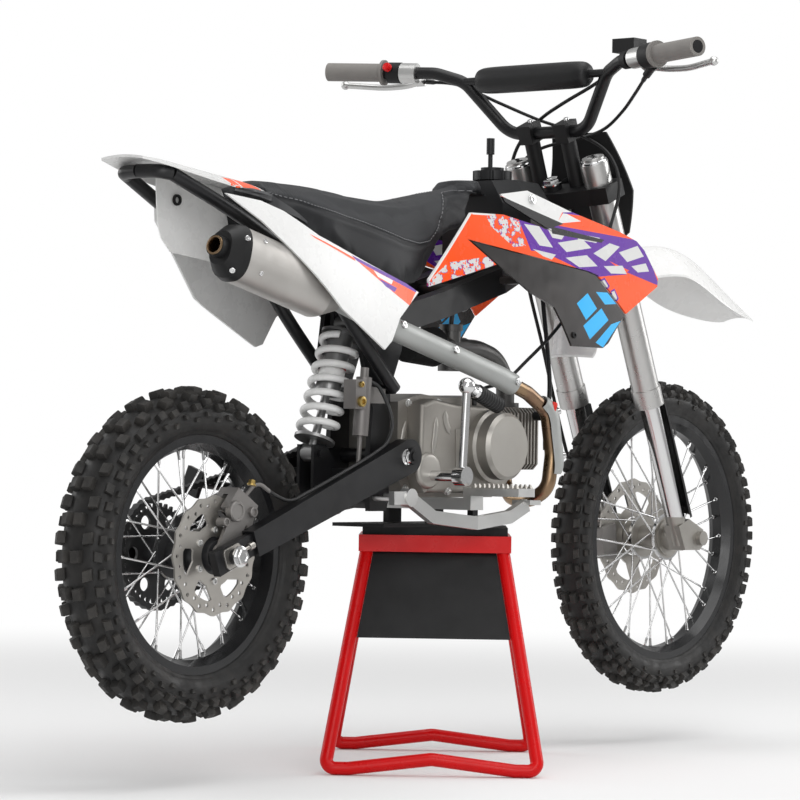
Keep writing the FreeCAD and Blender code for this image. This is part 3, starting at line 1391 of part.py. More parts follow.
def triple_clamps():
    """Both clamps, the stem between them, its nut and the two bar risers."""
    low = float(size("lower_clamp_start"))
    low_height = float(size("lower_clamp_height"))
    high = float(size("upper_clamp_start"))
    high_height = float(size("upper_clamp_height"))
    shape = clamp_block(low, low_height).fuse([
        clamp_block(high, high_height),
        rod(on_stem(low + 2), on_stem(high + high_height - 2), float(size("stem_radius"))),
        rod(on_stem(high + high_height - 1), on_stem(high + high_height + 12), 17.0)])
    bar = vec(fore(size("bar_ahead")), 0, size("bar_height"))
    for hand in (-1, 1):
        side = V(0, hand * float(size("riser_offset")), 0)
        foot = on_stem(high + high_height - 1, hand * float(size("riser_offset")), 20)
        shape = shape.fuse(rod(foot, bar + side - UP_FORK * 8, 14.0))
        block = [bar + side + UP_FORK * a + AHEAD_OF_FORK * b for a, b in ((-16, -18), (18, -18), (18, 18), (-16, 18))]
        shape = shape.fuse(prism([point + V(0, -14, 0) for point in block], V(0, 28, 0)))
    hole = float(size("bar_radius")) + 0.1
    shape = shape.cut(rod(bar + V(0, -70, 0), bar + V(0, 70, 0), hole))
    return made("triple_clamps", shape.removeSplitter())


def fork_outer_tubes():
    side = float(size("fork_offset"))
    start = float(size("fork_outer_start"))
    top = float(size("fork_top"))
    radius = float(size("fork_outer_radius"))
    leg = rod(on_fork(start, side), on_fork(top, side), radius)
    leg = leg.fuse([rod(on_fork(start, side), on_fork(start + 34, side), radius + 2),
                    rod(on_fork(top - 1, side), on_fork(top + 9, side), radius - 5)])
    return made("fork_outer_tubes", both(leg.removeSplitter()))


def fork_sliders():
    """Bright lower tubes with the axle lugs."""
    side = float(size("fork_offset"))
    half = float(size("lug_width")) / 2
    lug_top = float(size("fork_lug_top"))
    radius = float(size("lug_radius"))
    lead = float(size("fork_to_axle"))
    tube_end = float(size("fork_outer_start")) - float(size("seat_gap"))
    leg = rod(on_fork(lug_top - 6, side), on_fork(tube_end, side), float(size("fork_inner_radius")))
    leg = leg.fuse(rod(on_fork(6, side), on_fork(lug_top, side), radius))
    outline = [on_fork(46, side - half, -16), on_fork(46, side - half, 18), on_fork(10, side - half, lead + 16),
               on_fork(-14, side - half, lead + 14), on_fork(-20, side - half, lead - 8), on_fork(-2, side - half, -14)]
    leg = leg.fuse([prism(outline, V(0, 2 * half, 0)),
                    rod(on_fork(0, side - half, lead), on_fork(0, side + half, lead), radius - 1)])
    hole = float(size("axle_radius")) + 0.1
    leg = leg.cut(rod(on_fork(0, side - 60, lead), on_fork(0, side + 60, lead), hole))
    return made("fork_sliders", both(leg.removeSplitter()))


def fork_guards():
    """Black guard before each slider, widest at its foot, on one stud."""
    side = float(size("fork_offset"))
    inner = float(size("guard_radius"))
    outer = inner + float(size("guard_thickness"))
    low = float(size("lug_guard_start"))
    high = float(size("fork_outer_start")) - 8
    shell = rod(on_fork(low, side), on_fork(high, side), outer).cut(rod(on_fork(low - 1, side), on_fork(high + 1, side), inner))
    wide = float(size("guard_low_half"))
    slim = float(size("guard_high_half"))
    outline = [on_fork(low - 1, side - wide, 10), on_fork(low - 1, side + wide, 10), on_fork(low + 90, side + wide - 3, 10),
               on_fork(high + 1, side + slim, 10), on_fork(high + 1, side - slim, 10), on_fork(low + 90, side - wide + 3, 10)]
    shell = shell.common(prism(outline, AHEAD_OF_FORK * 40))
    reach = float(size("fork_inner_radius") + size("seat_gap"))
    stud = rod(on_fork(low + 18, side, reach), on_fork(low + 18, side, inner + 1.5), 6.0)
    return made("fork_guards", both(shell.fuse(stud).removeSplitter()))


def front_axle():
    """Axle bolt with its head, nut and the spacers beside the hub."""
    side = float(size("fork_offset"))
    half = float(size("lug_width")) / 2
    radius = float(size("axle_radius"))
    hub_end = float(size("front_hub_half") + size("steering_gap"))
    middle = V(float(front_x), 0, float(front_z))
    shape = rod(middle + V(0, -side - half - 9, 0), middle + V(0, side + half + 12, 0), radius)
    for hand in (-1, 1):
        shape = shape.fuse(rod(middle + V(0, hand * hub_end, 0), middle + V(0, hand * (side - half - 0.1), 0), radius + 4))
        shape = shape.fuse(rod(middle + V(0, hand * (side + half + 0.1), 0), middle + V(0, hand * (side + half + 9), 0),
                               float(size("axle_head_radius"))))
    return made("front_axle", shape.removeSplitter())


def front_caliper():
    """Caliper behind the left leg, over the front disc, on the lug's ear."""
    disc = float(size("front_disc_offset"))
    radius = float(size("front_disc_radius"))
    middle = V(float(front_x), 0, float(front_z))
    angle = math.radians(186.0)
    reach = V(math.cos(angle), 0, math.sin(angle))
    square = V(-math.sin(angle), 0, math.cos(angle))
    centre = middle + reach * (radius - 8)
    corners = [centre + reach * a + square * b for a, b in ((-22, -34), (-22, 34), (20, 26), (20, -26))]
    block = prism([point + V(0, disc - 19, 0) for point in corners], V(0, 40, 0))
    block = block.cut(rod(middle + V(0, disc - 5.5, 0), middle + V(0, disc + 5.5, 0), radius + 5.0))
    inner = float(size("fork_offset")) - float(size("lug_width")) / 2
    ear = [centre + reach * -20 + square * -22, centre + reach * -20 + square * 22,
           on_fork(4, 0, -6), on_fork(40, 0, -10)]
    start = disc + 11
    end = inner - float(size("seat_gap"))
    strap = prism([point + V(0, start, 0) for point in ear], V(0, end - start, 0))
    return made("front_caliper", block.fuse(strap).removeSplitter())


BAR_SIDE = [(0, 0, 0), (0, 84, 0), (-42, 158, 94), (-66, 205, 110)]


def bar_route():
    """Left half of the bar from its middle to its end."""
    centre = vec(fore(size("bar_ahead")), 0, size("bar_height"))
    points = [centre + V(x, y, z) for x, y, z in BAR_SIDE]
    points.append(centre + V(-126, float(size("bar_end_offset")), 118))
    return points


def handlebar():
    """Bent bar with its cross brace."""
    left = bar_route()
    right = [V(p.x, -p.y, p.z) for p in reversed(left[1:])]
    bar = tube(right + left[1:], size("bar_radius"), 52)
    brace = vec(fore(size("crossbar_ahead")), 0, size("crossbar_height"))
    half = float(size("crossbar_half"))
    shape = bar.fuse(rod(brace + V(0, -half, 0), brace + V(0, half, 0), float(size("crossbar_radius"))))
    return made("handlebar", shape.removeSplitter())


def bar_pad():
    """Rolled pad round the brace."""
    brace = vec(fore(size("crossbar_ahead")), 0, size("crossbar_height"))
    half = float(size("bar_pad_half"))
    hole = float(size("crossbar_radius")) + 0.3
    return made("bar_pad", collar(brace + V(0, -half, 0), brace + V(0, half, 0), float(size("bar_pad_radius")), hole))


def grip_frame():
    """End of the bar and the direction of its last run, on the left."""
    route = bar_route()
    along = route[-1] - route[-2]
    along.normalize()
    return route[-1], along


def grips():
    """Grip with a flange on each end of the bar."""
    end, along = grip_frame()
    length = (float(size("bar_end_offset")) - float(size("grip_inner_offset"))) / along.y
    start = end - along * length
    shape = rod(start, end, float(size("grip_radius"))).fuse(rod(start, start + along * 5, float(size("grip_flange_radius"))))
    shape = shape.cut(rod(start - along, end + along, float(size("bar_radius")) + 0.2))
    return made("grips", both(shape.removeSplitter()))


def hand_levers():
    """Brake and clutch blades in their perches."""
    end, along = grip_frame()
    ahead = V(0.92, 0, -0.39)
    perch = end - along * 160
    perch_body = rod(perch - along * 15, perch + along * 15, 18.0)
    perch_body = perch_body.cut(rod(perch - along * 16, perch + along * 16, float(size("bar_radius")) + 0.2))
    joint = perch + ahead * 34
    perch_body = perch_body.fuse(beam([perch + ahead * 15.5, joint + ahead * 6], 22.0, 12.0))
    blade = [joint, joint + along * 34 + ahead * 16, joint + along * 84 + ahead * 26, joint + along * 160 + ahead * 18]
    shape = perch_body.fuse([tube(blade, 5.5), Part.makeSphere(8.0, blade[-1])])
    return made("hand_levers", both(shape.removeSplitter()))


def bar_controls():
    """Throttle housing and brake cylinder on the right, stop switch on the left."""
    end, along = grip_frame()
    hole = float(size("bar_radius")) + 0.2
    start = end - along * 118
    box_left = collar(start - along * 26, start - along * 2, 19.0, hole)
    button = rod(start - along * 14 + V(-17, 0, 6), start - along * 14 + V(-26, 0, 9), 7.0)
    left = box_left.fuse(button)
    throttle = mirrored(collar(start - along * 22, start + along * 4, 22.0, hole))
    tail = mirrored(rod(start - along * 10 + V(8, 0, -18), start - along * 34 + V(14, 0, -30), 7.0))
    body = end - along * 190
    barrel = rod(body + V(28, -26, 10), body + V(28, 34, 10), 10.0)
    cup = Part.makeBox(38, 46, 24, body + V(4, -38, 14))
    strap = collar(body - along * 8, body + along * 6, 16.0, hole)
    neck = rod(body + V(12, 0, 6), body + V(22, 0, 8), 7.0)
    master = mirrored(barrel.fuse([cup, strap, neck]))
    return made("bar_controls", Part.makeCompound([left.removeSplitter(), throttle.fuse(tail).removeSplitter(),
                                                   master.removeSplitter()]))


# Hoses and cables: each route is a list of points (x from the rear axle, y, z).

def route(points):
    return [vec(fore(ahead), side, height) for ahead, side, height in points]


FRONT_HOSE = [(1173, 63, 402.6), (1166, 84, 450), (1156, 112, 508), (1136, 121, 580), (1108, 122.5, 655),
              (1078, 121, 730), (1048, 122.5, 802), (1018, 121, 874), (992, 123, 946), (974, 124.5, 1016),
              (966, 104, 1080), (952, 40, 1128), (940, -30, 1156), (924, -100, 1178), (906, -156, 1200),
              (883, -197.9, 1219.5)]
REAR_HOSE = [(365.5, -66, 646), (386, -68, 640), (400, -76, 612), (402, -88, 578), (384, -93, 545),
             (340, -93, 523.5), (275, -94.5, 498.5), (208, -92.5, 472), (144, -90, 448), (106, -86, 462),
             (80, -78, 482), (58, -72, 457.8)]
PLUG_LEAD = [(860, -41, 829.5), (863, -46, 772), (858, -58, 712), (848, -72, 654), (838, -78, 616), (838, -66, 596)]
CLUTCH_CABLE = [(878, 242.2, 1198.4), (892, 176, 1190), (930, 118, 1160), (972, 60, 1130), (994, -10, 1104),
                (990, -84, 1066), (968, -128, 1006), (940, -132, 936), (904, -130, 866), (858, -122, 798),
                (806, -108, 738), (752, -94, 690), (700, -88, 654), (644, -86, 640), (622, -85, 628),
                (620, -85, 610.6)]
THROTTLE_CABLE = [(858.5, -261.4, 1181.9), (892, -214, 1156), (934, -156, 1130), (974, -88, 1106),
                  (1000, -14, 1094), (998, 74, 1078), (988, 128, 1036), (962, 142, 976), (934, 136, 918),
                  (900, 128, 862), (850, 106, 812), (792, 70, 786), (736, 32, 778), (692, 8, 776), (664, 0, 768), (660, 0, 750.4)]
CABLE_RADIUS = 3.0
HOSE_RADIUS = 3.2
LEAD_RADIUS = 4.0


def plug_lead():
    """Spark lead from the coil under the spar to the plug's boot on the head."""
    lead = cable("plug_lead_cord", route(PLUG_LEAD), LEAD_RADIUS)
    low = route(PLUG_LEAD)[0]
    coil = Part.makeBox(44, 26, 24, low + V(-22, -13, 0))
    boot_end = route(PLUG_LEAD)[-1]
    head_side = float(size("barrel_half")) - 4 + float(size("seat_gap"))
    boot = rod(V(boot_end.x, -head_side, boot_end.z), boot_end + V(0, -4, 0), 8.0)
    return made("plug_lead", lead.Shape.fuse([coil, boot]).removeSplitter())


# Left side drive parts

def drive_sprocket():
    """Small chain wheel on the engine's output shaft."""
    wheel = sprocket("drive_wheel", size("drive_teeth"), 7.0)
    doc.recompute()
    side = float(size("chain_offset"))
    shaft = rod(V(0, 50.2 - side, 0), V(0, 7, 0), 7.2)
    return made("drive_sprocket", wheel.Shape.fuse(shaft).removeSplitter(),
                FreeCAD.Placement(vec(fore(size("drive_ahead")), side, size("drive_height")), FreeCAD.Rotation()))


def sprocket_cover():
    """Plate outside the drive sprocket on two posts from the engine."""
    centre = vec(fore(size("drive_ahead")), 74.5, size("drive_height"))
    shape = rod(centre, centre + V(0, 4, 0), 50.0)
    tail = upright_prism([(500, 462), (566, 476), (566, 556), (500, 554)], 74.5, 78.5)
    shape = shape.fuse(tail)
    for height in (482, 548):
        spot = vec(fore(556), 50.2, height)
        shape = shape.fuse(rod(spot, spot + V(0, 26, 0), 5.0))
    return made("sprocket_cover", shape.removeSplitter())


# Side stand

STAND_PIVOT = (512.0, 136.0, 440.0)
LEG_LENGTH = 330.0
fold_line = V(-0.992, 0.06, 0.11)
fold_line.normalize()
down_line = V(0.13, 0.30, -0.945)
down_line.normalize()
hinge_line = fold_line.cross(down_line)
hinge_line.normalize()
side_stand_pivot = vec(fore(STAND_PIVOT[0]), STAND_PIVOT[1], STAND_PIVOT[2])
print("side stand pivot", [round(value, 3) for value in side_stand_pivot],
      "axis", [round(value, 5) for value in hinge_line],
      "angle", round(math.degrees(fold_line.getAngle(down_line)), 2))


def side_stand_bracket():
    """Pivot bolt and strap from the left peg bracket."""
    start = side_stand_pivot + hinge_line * 10.4
    shape = rod(start, start + hinge_line * 6, 14.0)
    shape = shape.fuse(rod(side_stand_pivot - hinge_line * 15, start + hinge_line * 6, 5.0))
    shape = shape.fuse(rod(side_stand_pivot - hinge_line * 15, side_stand_pivot - hinge_line * 10.4, 9.0))
    ahead = down_line * -0.28 - fold_line * 0.96
    ahead.normalize()
    across = hinge_line.cross(ahead) * 9.0
    root_point = start + ahead * 54
    strap = prism([start - across, root_point - across, root_point + across, start + across], hinge_line * 6)
    return shape.fuse(strap)


def side_stand():
    """Folded leg with its eye and foot."""
    eye = collar(side_stand_pivot - hinge_line * 10, side_stand_pivot + hinge_line * 10, 12.0, 5.05)
    end = side_stand_pivot + fold_line * LEG_LENGTH
    leg = rod(side_stand_pivot + fold_line * 9, end, 8.0)
    outward = hinge_line.cross(fold_line)
    foot = [end + fold_line * a + hinge_line * b for a, b in ((-4, -20), (4, -20), (4, 20), (-4, 20))]
    shape = eye.fuse([leg, prism([point + outward * -22 for point in foot], outward * 44)])
    return made("side_stand", shape.removeSplitter())


# Paddock stand: its own frame has X across its front and Y away from the front.

stand_turn = FreeCAD.Rotation(V(0, 0, 1), -float(size("stand_turn")))
STAND_PLACE = FreeCAD.Placement(vec(fore(size("stand_ahead")), 0, 0), stand_turn)
FOOT_INSET = 38.0
STAND_BEND = 34.0


def stand_leg_point(hand, depth_hand, height):
    """Middle of a leg's tube at a height."""
    radius = float(size("stand_tube_radius"))
    top = float(size("platform_bottom"))
    share = (top - height) / (top - radius)
    wide_top = float(size("platform_half_width")) - radius - 2
    deep_top = float(size("platform_half_depth")) - radius - 2
    wide = wide_top + (float(size("stand_half_width")) - wide_top) * share
    deep = deep_top + (float(size("stand_half_depth")) - deep_top) * share
    return V(hand * wide, depth_hand * deep, height)


def stand_frame():
    """Red platform on two bent tube loops whose low bars rise in the middle."""
    radius = float(size("stand_tube_radius"))
    low = float(size("platform_bottom"))
    half = float(size("platform_half_width"))
    deep = float(size("platform_half_depth"))
    height = float(size("platform_top")) - low
    shape = Part.makeBox(2 * half, 2 * deep, height, V(-half, -deep, low))
    hollow = Part.makeBox(2 * half - 8, 2 * deep - 8, height - 4, V(-half + 4, -deep + 4, low))
    shape = shape.cut(hollow)
    loops = []
    for depth_hand in (-1, 1):
        left = stand_leg_point(-1, depth_hand, low + 12)
        corner = stand_leg_point(-1, depth_hand, radius)
        foot = V(corner.x + FOOT_INSET, corner.y, radius)
        middle = V(0, corner.y, radius + float(size("stand_kink")))
        half_loop = [left, corner, foot, middle]
        points = half_loop + [V(-p.x, p.y, p.z) for p in reversed(half_loop[:-1])]
        loops.append(tube(points, radius, STAND_BEND))
    shape = shape.fuse(loops).removeSplitter()
    return made("stand_frame", shape, STAND_PLACE)


def stand_pad():
    """Black rubber block on the platform."""
    inset = float(size("pad_inset"))
    half = float(size("platform_half_width")) - inset
    deep = float(size("platform_half_depth")) - inset
    low = float(size("platform_top"))
    block = Part.makeBox(half * 2, deep * 2, float(size("pad_top")) - low, V(-half, -deep, low))
    return made("stand_pad", block, STAND_PLACE)


def stand_sign():
    """Blank black panel between the front legs."""
    radius = float(size("stand_tube_radius"))
    top = float(size("platform_bottom")) - float(size("seat_gap"))
    low = top - float(size("sign_height"))
    corners = []
    for hand, height in ((-1, top), (1, top), (1, low), (-1, low)):
        point = stand_leg_point(hand, -1, height)
        corners.append(V(point.x - hand * (radius + 0.6), point.y, point.z))
    return made("stand_sign", prism(corners, V(0, float(size("sign_thickness")), 0)), STAND_PLACE)


# All sub-parts

def build():
    """Every sub-part, in the order of the bodies that carry them."""
    nodes = []
    for end in ("front", "rear"):
        nodes.append(tyre(f"{end}_tyre", end))
        at_axle(nodes[-1], end)
        nodes.append(rim(f"{end}_rim", end))
        at_axle(nodes[-1], end)
    half_disc = size("disc_thickness") / 2
    left_face = size("chain_offset") - size("sprocket_thickness") / 2
    nodes.append(hub("rear_hub", "rear", left_face, size("rear_disc_offset") - half_disc))
    at_axle(nodes[-1], "rear")
    nodes.append(hub("front_hub", "front", size("front_disc_offset") - half_disc,
                     size("front_flange_offset") + size("hub_flange_thickness")))
    at_axle(nodes[-1], "front")
    nodes.append(brake_disc("rear_disc", "rear"))
    at_axle(nodes[-1], "rear", -size("rear_disc_offset"))
    nodes.append(brake_disc("front_disc", "front"))
    at_axle(nodes[-1], "front", size("front_disc_offset"))
    window_ring = (size("disc_hub_radius") + pitch_radius(size("sprocket_teeth"))) / 2 - 2
    nodes.append(sprocket("rear_sprocket", size("sprocket_teeth"), size("disc_bore") + 0.1, window_ring))
    at_axle(nodes[-1], "rear", size("chain_offset"))
    nodes += [drive_chain(), group("drive_sprocket", [drive_sprocket(), sprocket_cover()])]
    nodes += [group("swingarm", [swingarm(), rear_axle()]), rear_shock(), shock_spring()]
    nodes += [main_frame(), rear_subframe(), rear_fender()]
    nodes += [engine_cases(), group("engine_covers", [clutch_cover(), flywheel_cover()]), kick_starter()]
    nodes += [group("carburettor", [carburettor(), intake_manifold()]), air_filter()]
    core = size("barrel_core_half")
    half = size("barrel_half")
    barrel = finned_block("barrel", size("engine_front_ahead"), size("barrel_front_ahead"), core, half, 54)
    head = finned_block("head", size("barrel_front_ahead"), size("head_front_ahead"), core + 6, half - 4, 54)
    nodes.append(group("cylinder", [barrel, head]))
    nodes += [group("exhaust_header", [exhaust_header(), header_guard()]), exhaust_midpipe(), muffler(), muffler_cap()]
    nodes += [footpegs(), skid_plate(), group("foot_controls", [brake_pedal(), shift_lever()])]
    rear_hose = cable("rear_hose", route(REAR_HOSE), HOSE_RADIUS)
    nodes.append(group("rear_brake", [rear_master_cylinder(), rear_caliper(), rear_hose]))
    nodes += [fuel_tank(), fuel_cap(), seat()]
    nodes.append(made("side_panels", Part.makeCompound([side_panel(False, RIGHT_PANEL), side_panel(True, LEFT_PANEL)])))
    top_posts = [(780, 950, 84.3), (850, 925, 72.3)]
    low_posts = [(700, 826, 77.3)]
    nodes.append(made("shrouds", Part.makeCompound([shroud(left, SHROUD_TOP, top_posts) for left in (False, True)])))
    nodes.append(made("lower_shrouds",
                      Part.makeCompound([shroud(left, SHROUD_LOW, low_posts) for left in (False, True)])))
    nodes += [triple_clamps(), fork_outer_tubes(), group("fork_sliders", [fork_sliders(), front_axle()]), fork_guards()]
    nodes += [front_fender(), number_plate(), handlebar(), bar_pad(), grips(), hand_levers(), bar_controls()]
    nodes += [front_caliper(), cable("front_brake_hose", route(FRONT_HOSE), HOSE_RADIUS), plug_lead()]
    nodes.append(group("control_cables", [cable("clutch_cable", route(CLUTCH_CABLE), CABLE_RADIUS),
                                          cable("throttle_cable", route(THROTTLE_CABLE), CABLE_RADIUS)]))
    nodes += [side_stand(), stand_frame(), stand_pad(), stand_sign()]
    return nodes


def write(nodes):
    """Checks every object and writes one STEP file for each sub-part."""
    doc.recompute()
    for item in doc.Objects:
        if "Invalid" in item.State or "Error" in item.State:
            raise RuntimeError(f"{item.Name} failed: {item.State}")
    os.makedirs("parts", exist_ok=True)
    for item in nodes:
        if item.Shape.isNull() or not item.Shape.isValid():
            raise RuntimeError(f"{item.Label} has no valid shape")
        item.Shape.exportStep(f"parts/{item.Label}.step")
        print(item.Label, len(item.Shape.Solids), "solid", round(item.Shape.Volume / 1000, 1), "cm3")


write(build())
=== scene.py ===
import bmesh
import bpy
import numpy as np
from mathutils import Matrix, Vector
from mathutils.bvhtree import BVHTree


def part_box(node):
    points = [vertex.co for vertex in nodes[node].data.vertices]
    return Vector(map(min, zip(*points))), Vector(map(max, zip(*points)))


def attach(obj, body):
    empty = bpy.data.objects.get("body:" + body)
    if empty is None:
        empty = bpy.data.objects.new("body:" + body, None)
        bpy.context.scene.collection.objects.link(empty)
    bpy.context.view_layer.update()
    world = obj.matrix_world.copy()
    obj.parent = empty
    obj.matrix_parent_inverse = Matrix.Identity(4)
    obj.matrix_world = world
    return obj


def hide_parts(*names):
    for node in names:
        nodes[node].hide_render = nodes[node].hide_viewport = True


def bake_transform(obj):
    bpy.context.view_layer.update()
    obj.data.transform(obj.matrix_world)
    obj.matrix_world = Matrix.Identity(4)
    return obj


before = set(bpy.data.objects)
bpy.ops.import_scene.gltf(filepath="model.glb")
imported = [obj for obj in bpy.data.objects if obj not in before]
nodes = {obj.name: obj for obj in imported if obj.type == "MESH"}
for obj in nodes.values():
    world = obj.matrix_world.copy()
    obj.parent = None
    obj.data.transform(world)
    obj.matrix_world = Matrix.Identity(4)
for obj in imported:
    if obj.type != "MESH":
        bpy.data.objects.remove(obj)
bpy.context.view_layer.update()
print("frame loaded:", len(nodes), "nodes")

# Helpers that the sections share


def unit(vectors):
    # each vector divided by its length
    vectors = np.asarray(vectors, float)
    return vectors / np.linalg.norm(vectors, axis=-1, keepdims=True)


def metres(values):
    # a table in millimetres, as an array in metres
    return np.asarray(values, float) / 1000


def addObject(name, data):
    # a new object at the origin, linked into the scene
    item = bpy.data.objects.new(name, data)
    bpy.context.scene.collection.objects.link(item)
    return item


def newMaterial(name):
    # a material with its node tree and its shader
    material = bpy.data.materials.new(name)
    material.use_nodes = True
    tree = material.node_tree
    return material, tree, tree.nodes["Principled BSDF"]


def addNode(tree, kind, inputs=None, **props):
    # a node with its settings; an input that is a socket is linked, any other is set as a value
    node = tree.nodes.new(kind)
    for key, value in props.items():
        setattr(node, key, value)
    for key, value in (inputs or {}).items():
        if isinstance(value, bpy.types.NodeSocket):
            tree.links.new(value, node.inputs[key])
        else:
            node.inputs[key].default_value = value
    return node


def scalar(tree, operation, *values):
    # one sum on numbers
    return addNode(tree, "ShaderNodeMath", dict(enumerate(values)), operation=operation).outputs[0]


def vector(tree, operation, *values):
    # one sum on vectors; a length or a dot product comes out as a number
    node = addNode(tree, "ShaderNodeVectorMath", dict(enumerate(values)), operation=operation)
    return node.outputs["Value" if operation in ("LENGTH", "DOT_PRODUCT") else "Vector"]


def below(tree, value, limit):
    # 1 where the value is under the limit
    return scalar(tree, "LESS_THAN", value, limit)


def above(tree, value, limit):
    # 1 where the value is over the limit
    return scalar(tree, "GREATER_THAN", value, limit)


def times(tree, *values):
    # product of the values, from left to right
    product = values[0]
    for value in values[1:]:
        product = scalar(tree, "MULTIPLY", product, value)
    return product


def axesOf(tree, where):
    # x, y and z of a vector
    return addNode(tree, "ShaderNodeSeparateXYZ", {0: where}).outputs


def objectCoordinates(tree):
    # the place on the object in metres
    return addNode(tree, "ShaderNodeTexCoord").outputs["Object"]


def noiseField(tree, where, scale, detail=3.0, rough=0.55):
    # a smooth random field between 0 and 1 with scale features to the metre
    return addNode(tree, "ShaderNodeTexNoise", {"Vector": where, "Scale": scale, "Detail": detail,
                                                "Roughness": rough}).outputs["Fac"]


def rangeOf(tree, value, low, high, start=0.35, stop=0.65):
    # low at start, high at stop, a straight line between
    return addNode(tree, "ShaderNodeMapRange", {"Value": value, "From Min": start, "From Max": stop,
                                                "To Min": low, "To Max": high}).outputs[0]


def mixNumber(tree, factor, a, b):
    # a where the factor is 0, b where it is 1
    return addNode(tree, "ShaderNodeMix", {0: factor, 2: a, 3: b}, data_type="FLOAT").outputs[0]


def mixColor(tree, factor, a, b):
    # colour a where the factor is 0, colour b where it is 1
    a, b = (c if isinstance(c, bpy.types.NodeSocket) else (*c, 1.0) for c in (a, b))
    return addNode(tree, "ShaderNodeMix", {0: factor, 6: a, 7: b}, data_type="RGBA").outputs[2]


def bumpFrom(tree, height, distance, strength=0.6, normal=None):
    # the surface's direction bent by a height field, over that of another bump if one is given
    inputs = {"Height": height, "Distance": distance, "Strength": strength}
    if normal is not None:
        inputs["Normal"] = normal
    return addNode(tree, "ShaderNodeBump", inputs).outputs[0]


def wire(tree, shader, color, gloss, normal, specular=0.5):
    # three fields go to the shader; the specular level is one number on its own socket
    for socket, field in (("Base Color", color), ("Roughness", gloss), ("Normal", normal)):
        tree.links.new(field, shader.inputs[socket])
    shader.inputs["Specular IOR Level"].default_value = specular


# Camera: where the photograph was taken from, in metres and degrees

cameraSettings = {
    "place": (-4.8033, -3.8604, 0.5485),
    "yaw": 50.496,      # from +Y towards +X
    "pitch": 0.654,
    "roll": 0.888,
    "lens": 161.86,
    "sensor": 36.0,
    "farEnd": 60.0,
}


def makeCamera(s):
    # aim = (sin yaw cos pitch, cos yaw cos pitch, sin pitch); right and up are turned about it by the roll
    yaw, pitch, roll = np.radians([s["yaw"], s["pitch"], s["roll"]])
    aim = np.array([np.sin(yaw) * np.cos(pitch), np.cos(yaw) * np.cos(pitch), np.sin(pitch)])
    side = np.array([np.cos(yaw), -np.sin(yaw), 0.0])
    lift = np.cross(side, aim)
    right = side * np.cos(roll) + lift * np.sin(roll)
    up = -side * np.sin(roll) + lift * np.cos(roll)
    data = bpy.data.cameras.new("photoCamera")
    data.lens = s["lens"]
    data.sensor_width = s["sensor"]
    data.clip_end = s["farEnd"]
    camera = addObject("photoCamera", data)
    turn = np.eye(4)
    turn[:3, 0], turn[:3, 1], turn[:3, 2], turn[:3, 3] = right, up, -aim, s["place"]
    camera.matrix_world = Matrix(turn.tolist())
    bpy.context.scene.camera = camera


makeCamera(cameraSettings)
bpy.context.scene.view_settings.view_transform = "Standard"

# Light: a white room, a large soft lamp overhead and one on each side

lightSettings = {
    "roomStrength": 0.48, "aim": (0.0, 0.0, 0.6),
    # name, place, size in metres, power in watts
    "lamps": [("overheadLamp", (0.0, -0.6, 3.4), 3.2, 70.0), ("nearLamp", (-2.6, -3.2, 2.2), 2.2, 47.0),
              ("frontLamp", (3.2, -1.8, 1.8), 2.0, 40.0), ("farLamp", (-1.0, 3.4, 2.0), 2.4, 34.0),
              ("lowLamp", (-2.6, -1.9, 0.45), 1.6, 12.0)],
}


def makeLights(s):
    # the room is plain white to the eye and dimmer as a light; every lamp faces the bike's middle
    world = bpy.data.worlds.new("whiteRoom")
    bpy.context.scene.world = world
    world.use_nodes = True
    tree = world.node_tree
    tree.nodes.clear()
    rays = addNode(tree, "ShaderNodeLightPath").outputs
    seen = scalar(tree, "MAXIMUM", rays["Is Camera Ray"], rays["Is Transmission Ray"])
    strength = rangeOf(tree, seen, s["roomStrength"], 1.0, 0.0, 1.0)
    back = addNode(tree, "ShaderNodeBackground", {"Color": (1.0, 1.0, 1.0, 1.0), "Strength": strength})
    addNode(tree, "ShaderNodeOutputWorld", {"Surface": back.outputs[0]})
    for name, place, size, power in s["lamps"]:
        data = bpy.data.lights.new(name, "AREA")
        data.size, data.energy = size, power
        lamp = addObject(name, data)
        lamp.location = place
        lamp.rotation_euler = (Vector(s["aim"]) - lamp.location).to_track_quat("-Z", "Y").to_euler()


makeLights(lightSettings)

# Finishes that many pieces share: two close tones, a gloss that varies and a fine grain.
# A row holds two linear colours, the grain in 1/m, the lowest and highest roughness, the metal share, the
# grain's depth in metres and the specular level.

